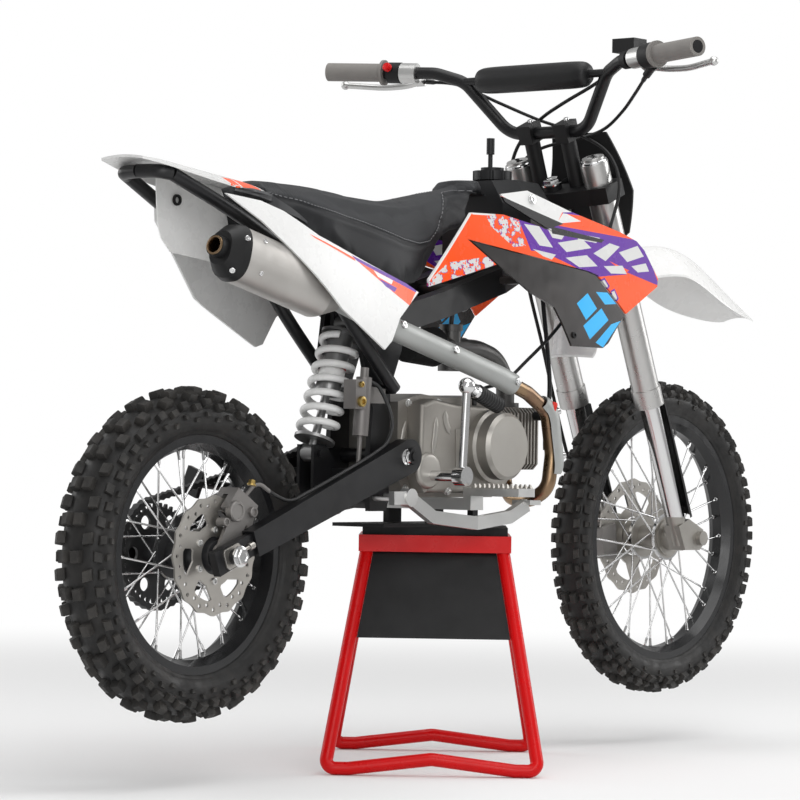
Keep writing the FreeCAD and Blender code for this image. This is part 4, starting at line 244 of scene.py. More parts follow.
finishRows = {
    "blackPaint": ((0.0055, 0.0055, 0.006), (0.0095, 0.0095, 0.0105), 900, (0.3, 0.4), 0.0, 0.00003, 0.34),
    "satinBlack": ((0.0055, 0.0055, 0.0058), (0.0095, 0.0095, 0.01), 1400, (0.44, 0.54), 0.0, 0.00004, 0.28),
    "rimBlack": ((0.006, 0.0062, 0.007), (0.009, 0.0092, 0.01), 700, (0.18, 0.26), 0.0, 0.00001, 0.5),
    "hubBlack": ((0.03, 0.03, 0.032), (0.05, 0.05, 0.052), 900, (0.35, 0.5), 0.4, 0.00006, 0.45),
    "whitePlastic": ((0.78, 0.78, 0.77), (0.745, 0.745, 0.735), 500, (0.24, 0.32), 0.0, 0.00002, 0.42),
    "castAlloy": ((0.3, 0.285, 0.26), (0.25, 0.235, 0.215), 1500, (0.42, 0.52), 0.75, 0.0001, 0.5),
    "coverAlloy": ((0.36, 0.345, 0.32), (0.32, 0.305, 0.28), 2200, (0.34, 0.42), 0.8, 0.00004, 0.5),
    "brightAlloy": ((0.6, 0.6, 0.59), (0.56, 0.56, 0.55), 1800, (0.3, 0.37), 0.9, 0.00002, 0.5),
    "discSteel": ((0.46, 0.44, 0.41), (0.41, 0.39, 0.36), 1200, (0.3, 0.38), 0.9, 0.00002, 0.5),
    "darkSteel": ((0.06, 0.06, 0.06), (0.04, 0.04, 0.041), 1200, (0.34, 0.44), 0.8, 0.00004, 0.4),
    "forkSilver": ((0.52, 0.515, 0.505), (0.49, 0.485, 0.475), 1600, (0.27, 0.33), 0.9, 0.00001, 0.5),
    "springWhite": ((0.8, 0.8, 0.79), (0.76, 0.76, 0.75), 800, (0.22, 0.3), 0.0, 0.00002, 0.42),
    "damperGrey": ((0.22, 0.22, 0.22), (0.3, 0.3, 0.3), 900, (0.3, 0.42), 0.8, 0.00004, 0.45),
    "chrome": ((0.68, 0.68, 0.68), (0.64, 0.64, 0.64), 400, (0.09, 0.14), 1.0, 0.000003, 0.5),
    "bronzeSteel": ((0.3, 0.21, 0.12), (0.22, 0.14, 0.09), 60, (0.22, 0.36), 1.0, 0.00003, 0.45),
    "shieldSilver": ((0.37, 0.38, 0.37), (0.34, 0.35, 0.34), 1300, (0.4, 0.48), 0.35, 0.00003, 0.5),
    "mufflerSilver": ((0.42, 0.405, 0.385), (0.38, 0.365, 0.345), 1300, (0.38, 0.46), 0.6, 0.00003, 0.5),
    "filterFoam": ((0.008, 0.008, 0.0084), (0.02, 0.02, 0.02), 700, (0.8, 0.95), 0.0, 0.0005, 0.2),
    "tankPlastic": ((0.0085, 0.0088, 0.0098), (0.013, 0.0133, 0.0145), 1600, (0.42, 0.5), 0.0, 0.00006, 0.3),
    "hoseRubber": ((0.006, 0.006, 0.0063), (0.01, 0.01, 0.0104), 1200, (0.4, 0.52), 0.0, 0.00003, 0.32),
    "gripRubber": ((0.22, 0.21, 0.195), (0.18, 0.17, 0.16), 1400, (0.6, 0.75), 0.0, 0.0001, 0.45),
    "brakeGrey": ((0.17, 0.16, 0.155), (0.23, 0.22, 0.21), 1300, (0.4, 0.52), 0.6, 0.0001, 0.45),
    "standRed": ((0.6, 0.003, 0.004), (0.52, 0.002, 0.003), 500, (0.26, 0.36), 0.0, 0.00002, 0.22),
    "padRubber": ((0.008, 0.008, 0.0084), (0.014, 0.014, 0.0144), 1100, (0.6, 0.75), 0.0, 0.00015, 0.28),
    "carbAlloy": ((0.105, 0.103, 0.1), (0.08, 0.078, 0.076), 1400, (0.34, 0.46), 0.75, 0.00006, 0.45),
    "redLabel": ((0.62, 0.02, 0.01), (0.56, 0.02, 0.01), 900, (0.3, 0.4), 0.0, 0.00001, 0.4),
    "seatTrim": ((0.05, 0.051, 0.054), (0.065, 0.066, 0.069), 1300, (0.34, 0.42), 0.0, 0.00004, 0.4),
    "goldPlate": ((0.42, 0.3, 0.1), (0.36, 0.25, 0.08), 900, (0.25, 0.35), 0.9, 0.00002, 0.5),
    # the thread's light grey is a painted highlight: it stands in for light along stitching that is dark
    "threadPaintedHighlight": ((0.17, 0.172, 0.178), (0.21, 0.212, 0.22), 2500, (0.5, 0.6), 0.0, 0.00003, 0.4),
}
finishKeys = ("color", "toneB", "grain", "gloss", "metal", "bump", "specular")
finishes = {name: dict(zip(finishKeys, row)) for name, row in finishRows.items()}


def sharedFinish(name, s):
    # base colour goes from one tone to the other with a slow noise, roughness with a second one;
    # the grain is a bump
    material, tree, shader = newMaterial(name)
    where = objectCoordinates(tree)
    slow = rangeOf(tree, noiseField(tree, where, 9.0, 4.0), 0.0, 1.0)
    gloss = rangeOf(tree, noiseField(tree, where, 37.0, 3.0), *s["gloss"])
    grain = bumpFrom(tree, noiseField(tree, where, s["grain"], 2.0), s["bump"])
    wire(tree, shader, mixColor(tree, slow, s["color"], s["toneB"]), gloss, grain, s["specular"])
    shader.inputs["Metallic"].default_value = s["metal"]
    return material


materials = {name: sharedFinish(name, settings) for name, settings in finishes.items()}

# Finishes of one piece each


def tyreRubber(name, s):
    # dull black with dust in slow patches; the bump has a moulded grain and soft dents
    material, tree, shader = newMaterial(name)
    where = objectCoordinates(tree)
    dust = rangeOf(tree, noiseField(tree, where, 24.0, 6.0, 0.65), 0.0, 1.0, 0.42, 0.68)
    gloss = rangeOf(tree, noiseField(tree, where, 60.0, 4.0), *s["gloss"])
    soft = bumpFrom(tree, noiseField(tree, where, 160.0, 3.0), 0.0004)
    grain = bumpFrom(tree, noiseField(tree, where, 1500.0, 2.0), 0.00008, 0.5, soft)
    wire(tree, shader, mixColor(tree, dust, s["clean"], s["dusty"]), gloss, grain, s["specular"])
    return material


rubberSettings = {
    "tyreRubber": {"clean": (0.0075, 0.0073, 0.0072), "dusty": (0.017, 0.0155, 0.0142), "gloss": (0.42, 0.62),
                   "specular": 0.34},
    "treadRubber": {"clean": (0.017, 0.0162, 0.0152), "dusty": (0.042, 0.0385, 0.0350), "gloss": (0.52, 0.70),
                    "specular": 0.34},
}

for name, settings in rubberSettings.items():
    materials[name] = tyreRubber(name, settings)


def twoFinishes(name, a, b, maskFrom):
    # every value of finish a gives way to that of finish b where the mask is 1
    material, tree, shader = newMaterial(name)
    where = objectCoordinates(tree)
    mask = maskFrom(tree, where)
    slow = rangeOf(tree, noiseField(tree, where, 9.0, 4.0), 0.0, 1.0)
    gloss = noiseField(tree, where, 37.0, 3.0)
    color = mixColor(tree, mask, *[mixColor(tree, slow, s["color"], s["toneB"]) for s in (a, b)])
    gloss = mixNumber(tree, mask, *[rangeOf(tree, gloss, *s["gloss"]) for s in (a, b)])
    wire(tree, shader, color, gloss, bumpFrom(tree, noiseField(tree, where, a["grain"], 2.0), a["bump"]))
    tree.links.new(mixNumber(tree, mask, a["metal"], b["metal"]), shader.inputs["Metallic"])
    return material


def beyondAxle(centre, radius):
    # 1 further than radius from the axle, measured in the wheel's plane
    def mask(tree, where):
        away = vector(tree, "ADD", where, (-centre[0], 0.0, -centre[1]))
        flat = vector(tree, "MULTIPLY", away, (1.0, 0.0, 1.0))
        return above(tree, vector(tree, "LENGTH", flat), radius)
    return mask


def belowHeight(height):
    # 1 under the given height
    def mask(tree, where):
        return below(tree, axesOf(tree, where)[2], height)
    return mask


def alongHose(s):
    # 1 where the rear hose runs: ahead of the cylinder and outside its bracket, then outside and below it
    def mask(tree, where):
        x, y, z = axesOf(tree, where)
        upper = times(tree, above(tree, x, s["ahead"]), below(tree, y, s["beside"]))
        lower = times(tree, above(tree, x, s["behind"]), below(tree, y, s["outside"]),
                      below(tree, z, s["under"]))
        return scalar(tree, "MAXIMUM", upper, lower)
    return mask


wheelCentres = {"front": (0.624, 0.3795), "rear": (-0.646, 0.365)}
hubRadius = 0.0385
hoseRun = {"ahead": -0.279, "beside": -0.0645, "behind": -0.545, "outside": -0.083, "under": 0.56}
doubleFinishes = {
    "brakeAndHose": ("brakeGrey", "hoseRubber", alongHose(hoseRun)),
    "frontLacing": ("coverAlloy", "chrome", beyondAxle(wheelCentres["front"], hubRadius)),
    "rearLacing": ("hubBlack", "chrome", beyondAxle(wheelCentres["rear"], hubRadius)),
    "sliderLeg": ("chrome", "coverAlloy", belowHeight(0.418)),
}

for name, (a, b, maskFrom) in doubleFinishes.items():
    materials[name] = twoFinishes(name, finishes[a], finishes[b], maskFrom)

# Panel art: shapes laid over the plastic in the order listed. A row holds an ink and its convex outlines,
# each a run of x and z in millimetres, or of x and |y| where the art is seen from above.

artColors = {
    "orange": (0.95, 0.085, 0.006), "purple": (0.10, 0.012, 0.30), "pale": (0.60, 0.60, 0.595),
    "white": (0.70, 0.70, 0.692), "black": (0.012, 0.012, 0.013), "cyan": (0.02, 0.42, 0.85),
    # smoke is the lower shrouds' dark plastic; the colour after it is a painted sheen, lighter patches laid
    # over the smoke
    "smoke": (0.020, 0.0175, 0.0170), "paintedSheen": (0.034, 0.030, 0.029),
}

artSettings = {
    "shroudArt": {
        "base": "orange", "tone": 0.88, "gloss": (0.22, 0.3), "specular": 0.25, "fromAbove": False,
        "shapes": [
            ("white", (-215, 800, -87, 937.5, -82.5, 934.5, -209, 797),
             (-90, 940, -80, 942, -10, 936, -45, 930.5, -83, 930)),
            ("purple", (30, 930, 350, 907, 362, 872, 55, 876), (120, 905, 385, 832, 362, 885, 250, 908),
             (85, 876, 215, 838, 300, 846, 210, 890), (300, 850, 384, 830, 340, 868)),
            ("pale", (44, 921, 82, 919, 112, 884, 78, 886), (102, 917, 152, 914, 137, 899, 113, 901),
             (126, 893, 190, 903, 212, 888, 146, 878), (170, 912, 238, 907, 226, 897.5, 180, 901.5),
             (216, 879, 262, 899, 288, 894, 246, 867), (142, 868, 198, 875, 224, 857, 176, 853),
             (284, 884, 336, 898, 350, 880, 304, 868), (240, 858, 290, 861, 300, 847, 258, 846),
             (314, 861, 354, 868, 361, 854, 330, 851), (60, 879, 118, 872, 106, 863, 84, 868)),
            ("orange", (253, 842, 386, 828, 384, 812, 280, 770, 226, 838)),
            ("purple", (226, 833, 240, 838, 252, 824, 239, 810)),
            ("pale", (229, 830.5, 239, 834, 247.5, 823.5, 238, 814.5)),
            ("purple", (253, 815, 264, 820, 274, 803, 263, 792)),
            ("pale", (255.5, 813.5, 263.5, 816, 269.5, 803.5, 263, 796.5)),
            ("white", (-35, 975, 50, 995, 170, 975, 128, 925), (128, 926, 193, 933.5, 150, 947)),
            ("purple", (146, 945, 207, 943, 156, 951)),
            ("white", (140, 946, 214, 951.5, 160, 966)),
            ("black", (-7.5, 965.8, 146.6, 926.4, 98.5, 914, -4, 947),
             (112, 920, 126, 919, 249, 904, 240, 898.5, 114, 908)),
        ],
        "splashes": [
            (-52, 934, 40, 931, 46, 884, 12, 880, -40, 912),
            (-206, 800, -192, 816, -150, 846, -45, 862, -40, 846),
        ],
    },
    "lowerArt": {
        "base": "smoke", "tone": 0.88, "gloss": (0.16, 0.24), "specular": 0.35, "fromAbove": False,
        "shapes": [
            ("cyan", (162, 790, 192, 809, 214, 783, 184, 762), (176, 752, 226, 784, 243, 764, 192, 729),
             (207, 724, 250, 757, 276, 764, 226, 716), (214, 812, 244, 812, 266, 793, 236, 791)),
        ],
        "splashes": [],
    },
    "sideArt": {
        "base": "white", "tone": 0.96, "gloss": (0.24, 0.32), "specular": 0.4, "fromAbove": False,
        "shapes": [
            ("orange", (-505, 874.5, -398, 841.5, -396, 836, -494, 868.5),
             (-402, 842.5, -240, 795, -262, 770, -300, 788)),
            ("purple", (-405, 846, -236, 799, -242, 792.5, -392, 837)),
            ("white", (-350, 824, -300, 809.5, -306, 803, -340, 813.5)),
            ("purple", (-340, 811.5, -292, 797.5, -300, 790.5, -322, 798.5)),
        ],
        "splashes": [],
    },
    "fenderArt": {
        "base": "white", "tone": 0.96, "gloss": (0.24, 0.32), "specular": 0.4, "fromAbove": True,
        "shapes": [
            ("orange", (-634, 120, -634, 52, -548, 30, -556, 120)),
            ("white", (-622, 120, -606, 46, -602, 46, -616, 120)),
        ],
        "splashes": [],
    },
}


def edgeDistance(tree, where, outline, fromAbove):
    # least distance to the outline's edges, above zero inside
    outline = metres(outline).reshape(-1, 2)
    middle = outline.mean(0)
    least = None
    for here, there in zip(outline, np.roll(outline, -1, 0)):
        normal = unit(np.array([here[1] - there[1], there[0] - here[0]]))
        reach = float(normal @ here)
        if normal @ middle < reach:
            normal, reach = -normal, -reach
        way = (normal[0], normal[1], 0.0) if fromAbove else (normal[0], 0.0, normal[1])
        gap = scalar(tree, "SUBTRACT", vector(tree, "DOT_PRODUCT", where, way), reach)
        least = gap if least is None else scalar(tree, "MINIMUM", least, gap)
    return least


def splashed(tree, color, inside, place):
    # purple, pale and orange in turn, each where the blot noise is higher, the orange in dots
    blot = noiseField(tree, place, 62.0, 3.0, 0.6)
    dots = noiseField(tree, place, 210.0, 1.0, 0.4)
    for ink, level in (("purple", 0.468), ("pale", 0.492), ("orange", 0.515)):
        share = times(tree, inside, above(tree, blot, level))
        if ink == "orange":
            share = times(tree, share, above(tree, dots, 0.64))
        color = mixColor(tree, share, color, artColors[ink])
    return color


def panelArt(name, s):
    # printed film over glossy plastic: on the smoke base, lighter patches of painted sheen, then splashes
    # where a noise is high, then the shapes, whose rims stand out; art seen from above is the same on both
    # sides and only on faces that look up
    material, tree, shader = newMaterial(name)
    place = where = objectCoordinates(tree)
    if s["fromAbove"]:
        x, y, z = axesOf(tree, place)
        where = addNode(tree, "ShaderNodeCombineXYZ", {0: x, 1: scalar(tree, "ABSOLUTE", y)}).outputs[0]
        facing = addNode(tree, "ShaderNodeNewGeometry").outputs["True Normal"]
        outer = above(tree, axesOf(tree, facing)[2], 0.0)
    slow = rangeOf(tree, noiseField(tree, place, 11.0, 4.0), 0.0, 1.0)
    base = artColors[s["base"]]
    color = mixColor(tree, slow, base, tuple(s["tone"] * c for c in base))
    if s["base"] == "smoke":
        # painted sheen: lighter patches by a slow noise, standing in for light on the dark glossy plastic
        paintedSheen = rangeOf(tree, noiseField(tree, place, 7.0, 3.0), 0.0, 1.0, 0.5, 0.62)
        color = mixColor(tree, paintedSheen, color, artColors["paintedSheen"])
    for spread in s["splashes"]:
        inside = above(tree, edgeDistance(tree, where, spread, s["fromAbove"]), 0.0)
        color = splashed(tree, color, inside, place)
    film = None
    for ink, *outlines in s["shapes"]:
        for outline in outlines:
            inside = above(tree, edgeDistance(tree, where, outline, s["fromAbove"]), 0.0)
            if s["fromAbove"]:
                inside = times(tree, inside, outer)
            color = mixColor(tree, inside, color, artColors[ink])
            film = inside if film is None else scalar(tree, "MAXIMUM", film, inside)
    gloss = rangeOf(tree, noiseField(tree, place, 37.0, 3.0), *s["gloss"])
    grain = bumpFrom(tree, noiseField(tree, place, 320.0, 2.0), 0.00003, 0.5)
    wire(tree, shader, color, gloss, bumpFrom(tree, film, 0.00012, 0.4, grain), s["specular"])
    return material


for name, settings in artSettings.items():
    materials[name] = panelArt(name, settings)


def seatCover(name, s):
    # vinyl with a leather grain; where the grip attribute is 1, ribs run across: height = |sin(pi x / pitch)|
    material, tree, shader = newMaterial(name)
    where = objectCoordinates(tree)
    grip = addNode(tree, "ShaderNodeAttribute", attribute_name="grip").outputs["Fac"]
    slow = rangeOf(tree, noiseField(tree, where, 14.0, 4.0), 0.0, 1.0)
    side, top = (mixColor(tree, slow, tone, tuple(1.25 * c for c in tone)) for tone in (s["side"], s["top"]))
    wave = scalar(tree, "SINE", scalar(tree, "MULTIPLY", axesOf(tree, where)[0], np.pi / s["pitch"]))
    ribs = times(tree, scalar(tree, "ABSOLUTE", wave), grip)
    creases = addNode(tree, "ShaderNodeTexVoronoi", {"Vector": where, "Scale": 620.0},
                      feature="DISTANCE_TO_EDGE").outputs[0]
    leather = bumpFrom(tree, rangeOf(tree, creases, 0.0, 1.0, 0.0, 0.12), 0.00008, 0.5)
    wire(tree, shader, mixColor(tree, grip, side, top), mixNumber(tree, grip, *s["gloss"]),
         bumpFrom(tree, ribs, 0.0004, 0.8, leather), 0.32)
    return material


coverSettings = {
    "seatCover": {"side": (0.0105, 0.011, 0.0125), "top": (0.021, 0.022, 0.024), "gloss": (0.5, 0.62),
                  "pitch": 0.0036},
    "padCover": {"side": (0.007, 0.007, 0.0075), "top": (0.012, 0.012, 0.012), "gloss": (0.42, 0.5),
                 "pitch": 0.004},
}

for name, settings in coverSettings.items():
    materials[name] = seatCover(name, settings)

finishNodes = {
    "tyreRubber": "front_tyre rear_tyre", "rimBlack": "front_rim rear_rim", "frontLacing": "front_hub",
    "rearLacing": "rear_hub", "discSteel": "front_disc rear_disc",
    "darkSteel": "rear_sprocket drive_sprocket drive_chain",
    "blackPaint": "swingarm main_frame rear_subframe handlebar side_stand", "damperGrey": "rear_shock",
    "springWhite": "shock_spring", "fenderArt": "rear_fender", "castAlloy": "engine_cases cylinder",
    "coverAlloy": "engine_covers", "chrome": "kick_starter", "carbAlloy": "carburettor",
    "filterFoam": "air_filter", "bronzeSteel": "exhaust_header", "shieldSilver": "exhaust_midpipe",
    "mufflerSilver": "muffler",
    "satinBlack": "muffler_cap skid_plate triple_clamps fork_guards number_plate bar_pad bar_controls"
                  " stand_sign",
    "brightAlloy": "footpegs foot_controls hand_levers", "brakeAndHose": "rear_brake",
    "tankPlastic": "fuel_tank fuel_cap", "padRubber": "seat stand_pad", "sideArt": "side_panels",
    "shroudArt": "shrouds", "lowerArt": "lower_shrouds", "forkSilver": "fork_outer_tubes",
    "sliderLeg": "fork_sliders", "whitePlastic": "front_fender", "gripRubber": "grips",
    "brakeGrey": "front_caliper", "hoseRubber": "front_brake_hose plug_lead control_cables",
    "standRed": "stand_frame",
}

for finish, names in finishNodes.items():
    for name in names.split():
        nodes[name].data.materials.clear()
        nodes[name].data.materials.append(materials[finish])
print("finishes assigned:", len(finishNodes))

# Mesh helpers: a shape is a grid of points worked out as whole arrays


def gridFaces(rows, columns, wrapRows=False, wrapColumns=False):
    # the four corners of each cell, numbered row by row; a wrapped direction joins its last line to its first
    i = np.arange(rows if wrapRows else rows - 1)[:, None]
    j = np.arange(columns if wrapColumns else columns - 1)[None, :]
    nextI, nextJ = (i + 1) % rows, (j + 1) % columns
    corners = (i * columns + j, i * columns + nextJ, nextI * columns + nextJ, nextI * columns + j)
    return np.stack(np.broadcast_arrays(*corners), -1).reshape(-1, 4)


def frameAlong(axis):
    # two directions square to the axis and to each other
    axis = unit(axis)
    other = np.array([0.0, 0.0, 1.0]) if abs(axis[2]) < 0.9 else np.array([1.0, 0.0, 0.0])
    first = unit(np.cross(axis, other))
    return first, np.cross(axis, first), axis


def turned(centre, axis, profile, sides=24, mark=0, phase=0.0):
    # point = centre + axis * along + radius * (cos a, sin a); the profile is rows of (along, radius)
    first, second, axis = frameAlong(axis)
    profile = np.asarray(profile, float)
    angle = phase + 2 * np.pi * np.arange(sides) / sides
    ring = np.cos(angle)[:, None] * first + np.sin(angle)[:, None] * second
    points = np.asarray(centre) + profile[:, None, :1] * axis + profile[:, None, 1:] * ring[None]
    faces = gridFaces(len(profile), sides, wrapColumns=True).tolist()
    faces += [list(range(sides)), list(range((len(profile) - 1) * sides, len(profile) * sides))]
    return points.reshape(-1, 3), faces, mark


def hexBolt(centre, axis, radius, height, mark=0):
    # a washer, a six-sided head with a chamfered rim and a shallow dish in its top
    washer = turned(centre, axis, [(-0.001, radius * 1.25), (height * 0.18, radius * 1.25),
                                   (height * 0.22, radius * 1.15)], 20, mark)
    head = turned(centre, axis, [(0, radius), (height * 0.85, radius), (height, radius * 0.86),
                                 (height, radius * 0.6), (height * 0.88, radius * 0.5)], 6, mark)
    return [washer, head]


def capBolt(centre, axis, radius, height, mark=0):
    # a round head with a rounded rim and a six-sided socket
    profile = [(-0.001, radius), (height * 0.75, radius), (height * 0.93, radius * 0.93),
               (height, radius * 0.8), (height, radius * 0.52), (height * 0.45, radius * 0.46)]
    return [turned(centre, axis, profile, 18, mark)]


def swept(path, radius, sides=12, mark=0, closed=False, flat=1.0, lift=(0, 0, 1)):
    # a ring of points carried along the path: point = path + radius * (cos a * side + flat * sin a * up)
    path = np.asarray(path, float)
    step = np.roll(path, -1, 0) - np.roll(path, 1, 0)
    if not closed:
        step[0], step[-1] = path[1] - path[0], path[-1] - path[-2]
    along = unit(step)
    side = unit(np.cross(along, np.asarray(lift, float)) + 1e-9)
    up = np.cross(side, along)
    angle = 2 * np.pi * np.arange(sides) / sides
    radius = np.broadcast_to(np.asarray(radius, float), (len(path),))[:, None, None]
    points = path[:, None] + radius * (np.cos(angle)[None, :, None] * side[:, None]
                                       + flat * np.sin(angle)[None, :, None] * up[:, None])
    faces = gridFaces(len(path), sides, wrapRows=closed, wrapColumns=True).tolist()
    if not closed:
        faces += [list(range(sides)), list(range((len(path) - 1) * sides, len(path) * sides))]
    return points.reshape(-1, 3), faces, mark


def smoothPath(points, count):
    # a Catmull-Rom curve through the points, read at evenly spaced parameters
    points = np.asarray(points, float)
    padded = np.vstack([2 * points[0] - points[1], points, 2 * points[-1] - points[-2]])
    at = np.linspace(0, len(points) - 1 - 1e-9, count)
    k = at.astype(int)
    t = (at - k)[:, None]
    a, b, c, d = padded[k], padded[k + 1], padded[k + 2], padded[k + 3]
    return 0.5 * (2 * b + (c - a) * t + (2 * a - 5 * b + 4 * c - d) * t ** 2
                  + (3 * b - a - 3 * c + d) * t ** 3)


def meshPoints(mesh, field="co"):
    # the places of the mesh's points, or their normals, as rows
    cloud = np.zeros(len(mesh.vertices) * 3)
    mesh.vertices.foreach_get(field, cloud)
    return cloud.reshape(-1, 3)


def plate(outlines, thickness, middle):
    # flat plate in x and z round middle: an outer outline and its holes, filled by a flat curve and grown
    # along y
    curve = bpy.data.curves.new("plateOutline", "CURVE")
    curve.dimensions = "2D"
    curve.fill_mode = "BOTH"
    curve.extrude = thickness / 2
    for outline in outlines:
        spline = curve.splines.new("POLY")
        spline.points.add(len(outline) - 1)
        flat = np.zeros((len(outline), 4))
        flat[:, :2] = outline
        flat[:, 3] = 1.0
        spline.points.foreach_set("co", flat.ravel())
        spline.use_cyclic_u = True
    holder = bpy.data.objects.new("plateOutline", curve)
    mesh = bpy.data.meshes.new_from_object(holder)
    points = meshPoints(mesh)[:, [0, 2, 1]] + np.array(middle)
    faces = [list(face.vertices) for face in mesh.polygons]
    bpy.data.objects.remove(holder)
    bpy.data.meshes.remove(mesh)
    bpy.data.curves.remove(curve)
    return points, faces, 0


def circleOutline(x, y, radius, count):
    # (x + r cos a, y + r sin a)
    angle = 2 * np.pi * np.arange(count) / count
    return np.stack([x + radius * np.cos(angle), y + radius * np.sin(angle)], 1)


def makePiece(name, parts, body, finishNames, sharp=32.0, replaced=(), bevel=None):
    # parts are (points, faces, finish number); they become one mesh whose faces are turned outwards, smooth
    # but for edges over the sharp angle, with softened edges if a bevel is given
    points, faces, marks, base = [], [], [], 0
    for cloud, cells, mark in parts:
        points.append(cloud)
        faces += [[int(corner) + base for corner in cell] for cell in cells]
        marks += [mark] * len(cells)
        base += len(cloud)
    mesh = bpy.data.meshes.new(name)
    mesh.from_pydata(np.concatenate(points).tolist(), [], faces)
    shape = bmesh.new()
    shape.from_mesh(mesh)
    shape.faces.ensure_lookup_table()
    for face, mark in zip(shape.faces, marks):
        face.material_index = mark
    bmesh.ops.remove_doubles(shape, verts=shape.verts, dist=0.000002)
    bmesh.ops.recalc_face_normals(shape, faces=shape.faces)
    shape.to_mesh(mesh)
    shape.free()
    mesh.shade_smooth()
    mesh.set_sharp_from_angle(angle=np.radians(sharp))
    item = addObject(name, mesh)
    for finish in finishNames:
        mesh.materials.append(materials[finish])
    if bevel:
        edge = item.modifiers.new("softEdges", "BEVEL")
        edge.width = bevel
        edge.segments = 2
        edge.limit_method = "ANGLE"
    if body:
        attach(item, body)
    if replaced:
        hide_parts(*replaced)
    return item


# Tyres: a round carcass with moulded ribs, and rows of tapered blocks. A row holds the angle phi in degrees,
# the turn in pitches, the width, length and height in metres and the skew.

tyreSettings = {
    "front_tyre": {
        "body": "front_wheel", "centre": wheelCentres["front"], "crown": 0.275, "widest": 0.2505,
        "half": 0.0345, "foot": 0.034, "pitches": 32, "segments": 224,
        "rows": [
            (13.5, 0.0, 0.0118, 0.018, 0.012, 0.1),
            (38.0, 0.5, 0.0115, 0.0168, 0.0112, 0.28),
            (38.0, 0.0, 0.008, 0.0125, 0.009, 0.0),
            (64.0, 0.0, 0.0118, 0.015, 0.0085, -0.2),
            (69.0, 0.5, 0.0085, 0.011, 0.0065, 0.0),
            (93.0, 0.5, 0.0075, 0.0085, 0.0022, 0.0),
        ],
    },
    "rear_tyre": {
        "body": "rear_wheel", "centre": wheelCentres["rear"], "crown": 0.253, "widest": 0.219,
        "half": 0.0435, "foot": 0.041, "pitches": 28, "segments": 208,
        "rows": [
            (15.5, 0.0, 0.0165, 0.02, 0.012, 0.08),
            (38.0, 0.5, 0.0155, 0.019, 0.0118, 0.22),
            (60.0, 0.0, 0.014, 0.0165, 0.0088, -0.18),
            (69.0, 0.5, 0.0115, 0.0145, 0.008, 0.12),
            (87.0, 0.0, 0.0085, 0.01, 0.0045, 0.3),
            (98.0, 0.5, 0.0075, 0.0085, 0.0035, -0.2),
        ],
    },
}


def carcass(s, phi, theta, lift=0.0):
    # section: y = half sin(phi), r = widest + b cos(phi), where b is crown - widest above and foot below
    b = np.where(np.cos(phi) > 0, s["crown"] - s["widest"], s["foot"])
    y, r = s["half"] * np.sin(phi), s["widest"] + b * np.cos(phi)
    out = unit(np.stack([np.cos(phi) / b, np.sin(phi) / s["half"]], -1))
    r, y = r + lift * out[..., 0], y + lift * out[..., 1]
    x, z = s["centre"]
    return np.stack(np.broadcast_arrays(x + r * np.cos(theta), y, z + r * np.sin(theta)), -1)


def tyreBlocks(s, row, side):
    # four rings of four corners, on every pitch: foot below the carcass, shoulder, chamfer and dished top;
    # corner = carcass + u * round the wheel + v * across it + w * outward, u leaning by skew * v
    degrees, turn, wide, long, high, skew = row
    theta = 2 * np.pi * (np.arange(s["pitches"]) + turn) / s["pitches"]
    phi = side * np.radians(degrees)
    here = carcass(s, np.full_like(theta, phi), theta)
    outward = unit(carcass(s, np.full_like(theta, phi), theta, 0.001) - here)
    across = unit(carcass(s, np.full_like(theta, phi + side * 0.01), theta) - here)
    onward = np.cross(outward, across)
    long, wide = long / 2, wide / 2
    rings = [(long, wide, -0.002), (long * 0.94, wide * 0.93, high * 0.86), (long * 0.84, wide * 0.82, high),
             (long * 0.5, wide * 0.48, high - 0.0006)]
    rings = np.array(rings)
    u, v = rings[:, :1] * (-1, 1, 1, -1), rings[:, 1:2] * (-1, -1, 1, 1)
    w = np.repeat(rings[:, 2:], 4, 1)
    u = u + skew * v
    points = (here[:, None, None] + u[None, :, :, None] * onward[:, None, None]
              + v[None, :, :, None] * across[:, None, None] + w[None, :, :, None] * outward[:, None, None])
    one = np.array(gridFaces(4, 4, wrapColumns=True).tolist() + [[3, 2, 1, 0], [12, 13, 14, 15]])
    faces = one[None] + 16 * np.arange(len(theta))[:, None, None]
    return points.reshape(-1, 3), faces.reshape(-1, 4), 1


flankSettings = {"end": 142.0, "steps": 89,
                 "ribs": [(108.0, 1.3, 0.0007), (121.0, 1.3, 0.0007), (134.0, 2.6, 0.0016)]}


def makeTyre(name, s, flank):
    # ribs run round each flank: height = tall * exp(-((phi - at) / wide)^2), summed over (at, wide, tall)
    end = np.radians(flank["end"])
    phi = np.linspace(-end, end, flank["steps"])
    theta = 2 * np.pi * np.arange(s["segments"]) / s["segments"]
    degrees = np.degrees(np.abs(phi))
    ribs = sum(tall * np.exp(-((degrees - at) / wide) ** 2) for at, wide, tall in flank["ribs"])
    outer = carcass(s, phi[:, None], theta[None], ribs[:, None])
    inner = outer[[-1, 0]] * 1.0
    inner[..., 1] *= 0.9
    grid = np.concatenate([outer, inner])
    parts = [(grid.reshape(-1, 3), gridFaces(len(grid), s["segments"], wrapRows=True, wrapColumns=True), 0)]
    for row in s["rows"]:
        parts += [tyreBlocks(s, row, side) for side in (-1, 1)]
    makePiece(name + "_tread", parts, s["body"], ["tyreRubber", "treadRubber"], 38.0, (name,))


for name, settings in tyreSettings.items():
    makeTyre(name, settings, flankSettings)
print("tyres made")

# Brake discs: a waved edge, rows of drilled holes and large windows

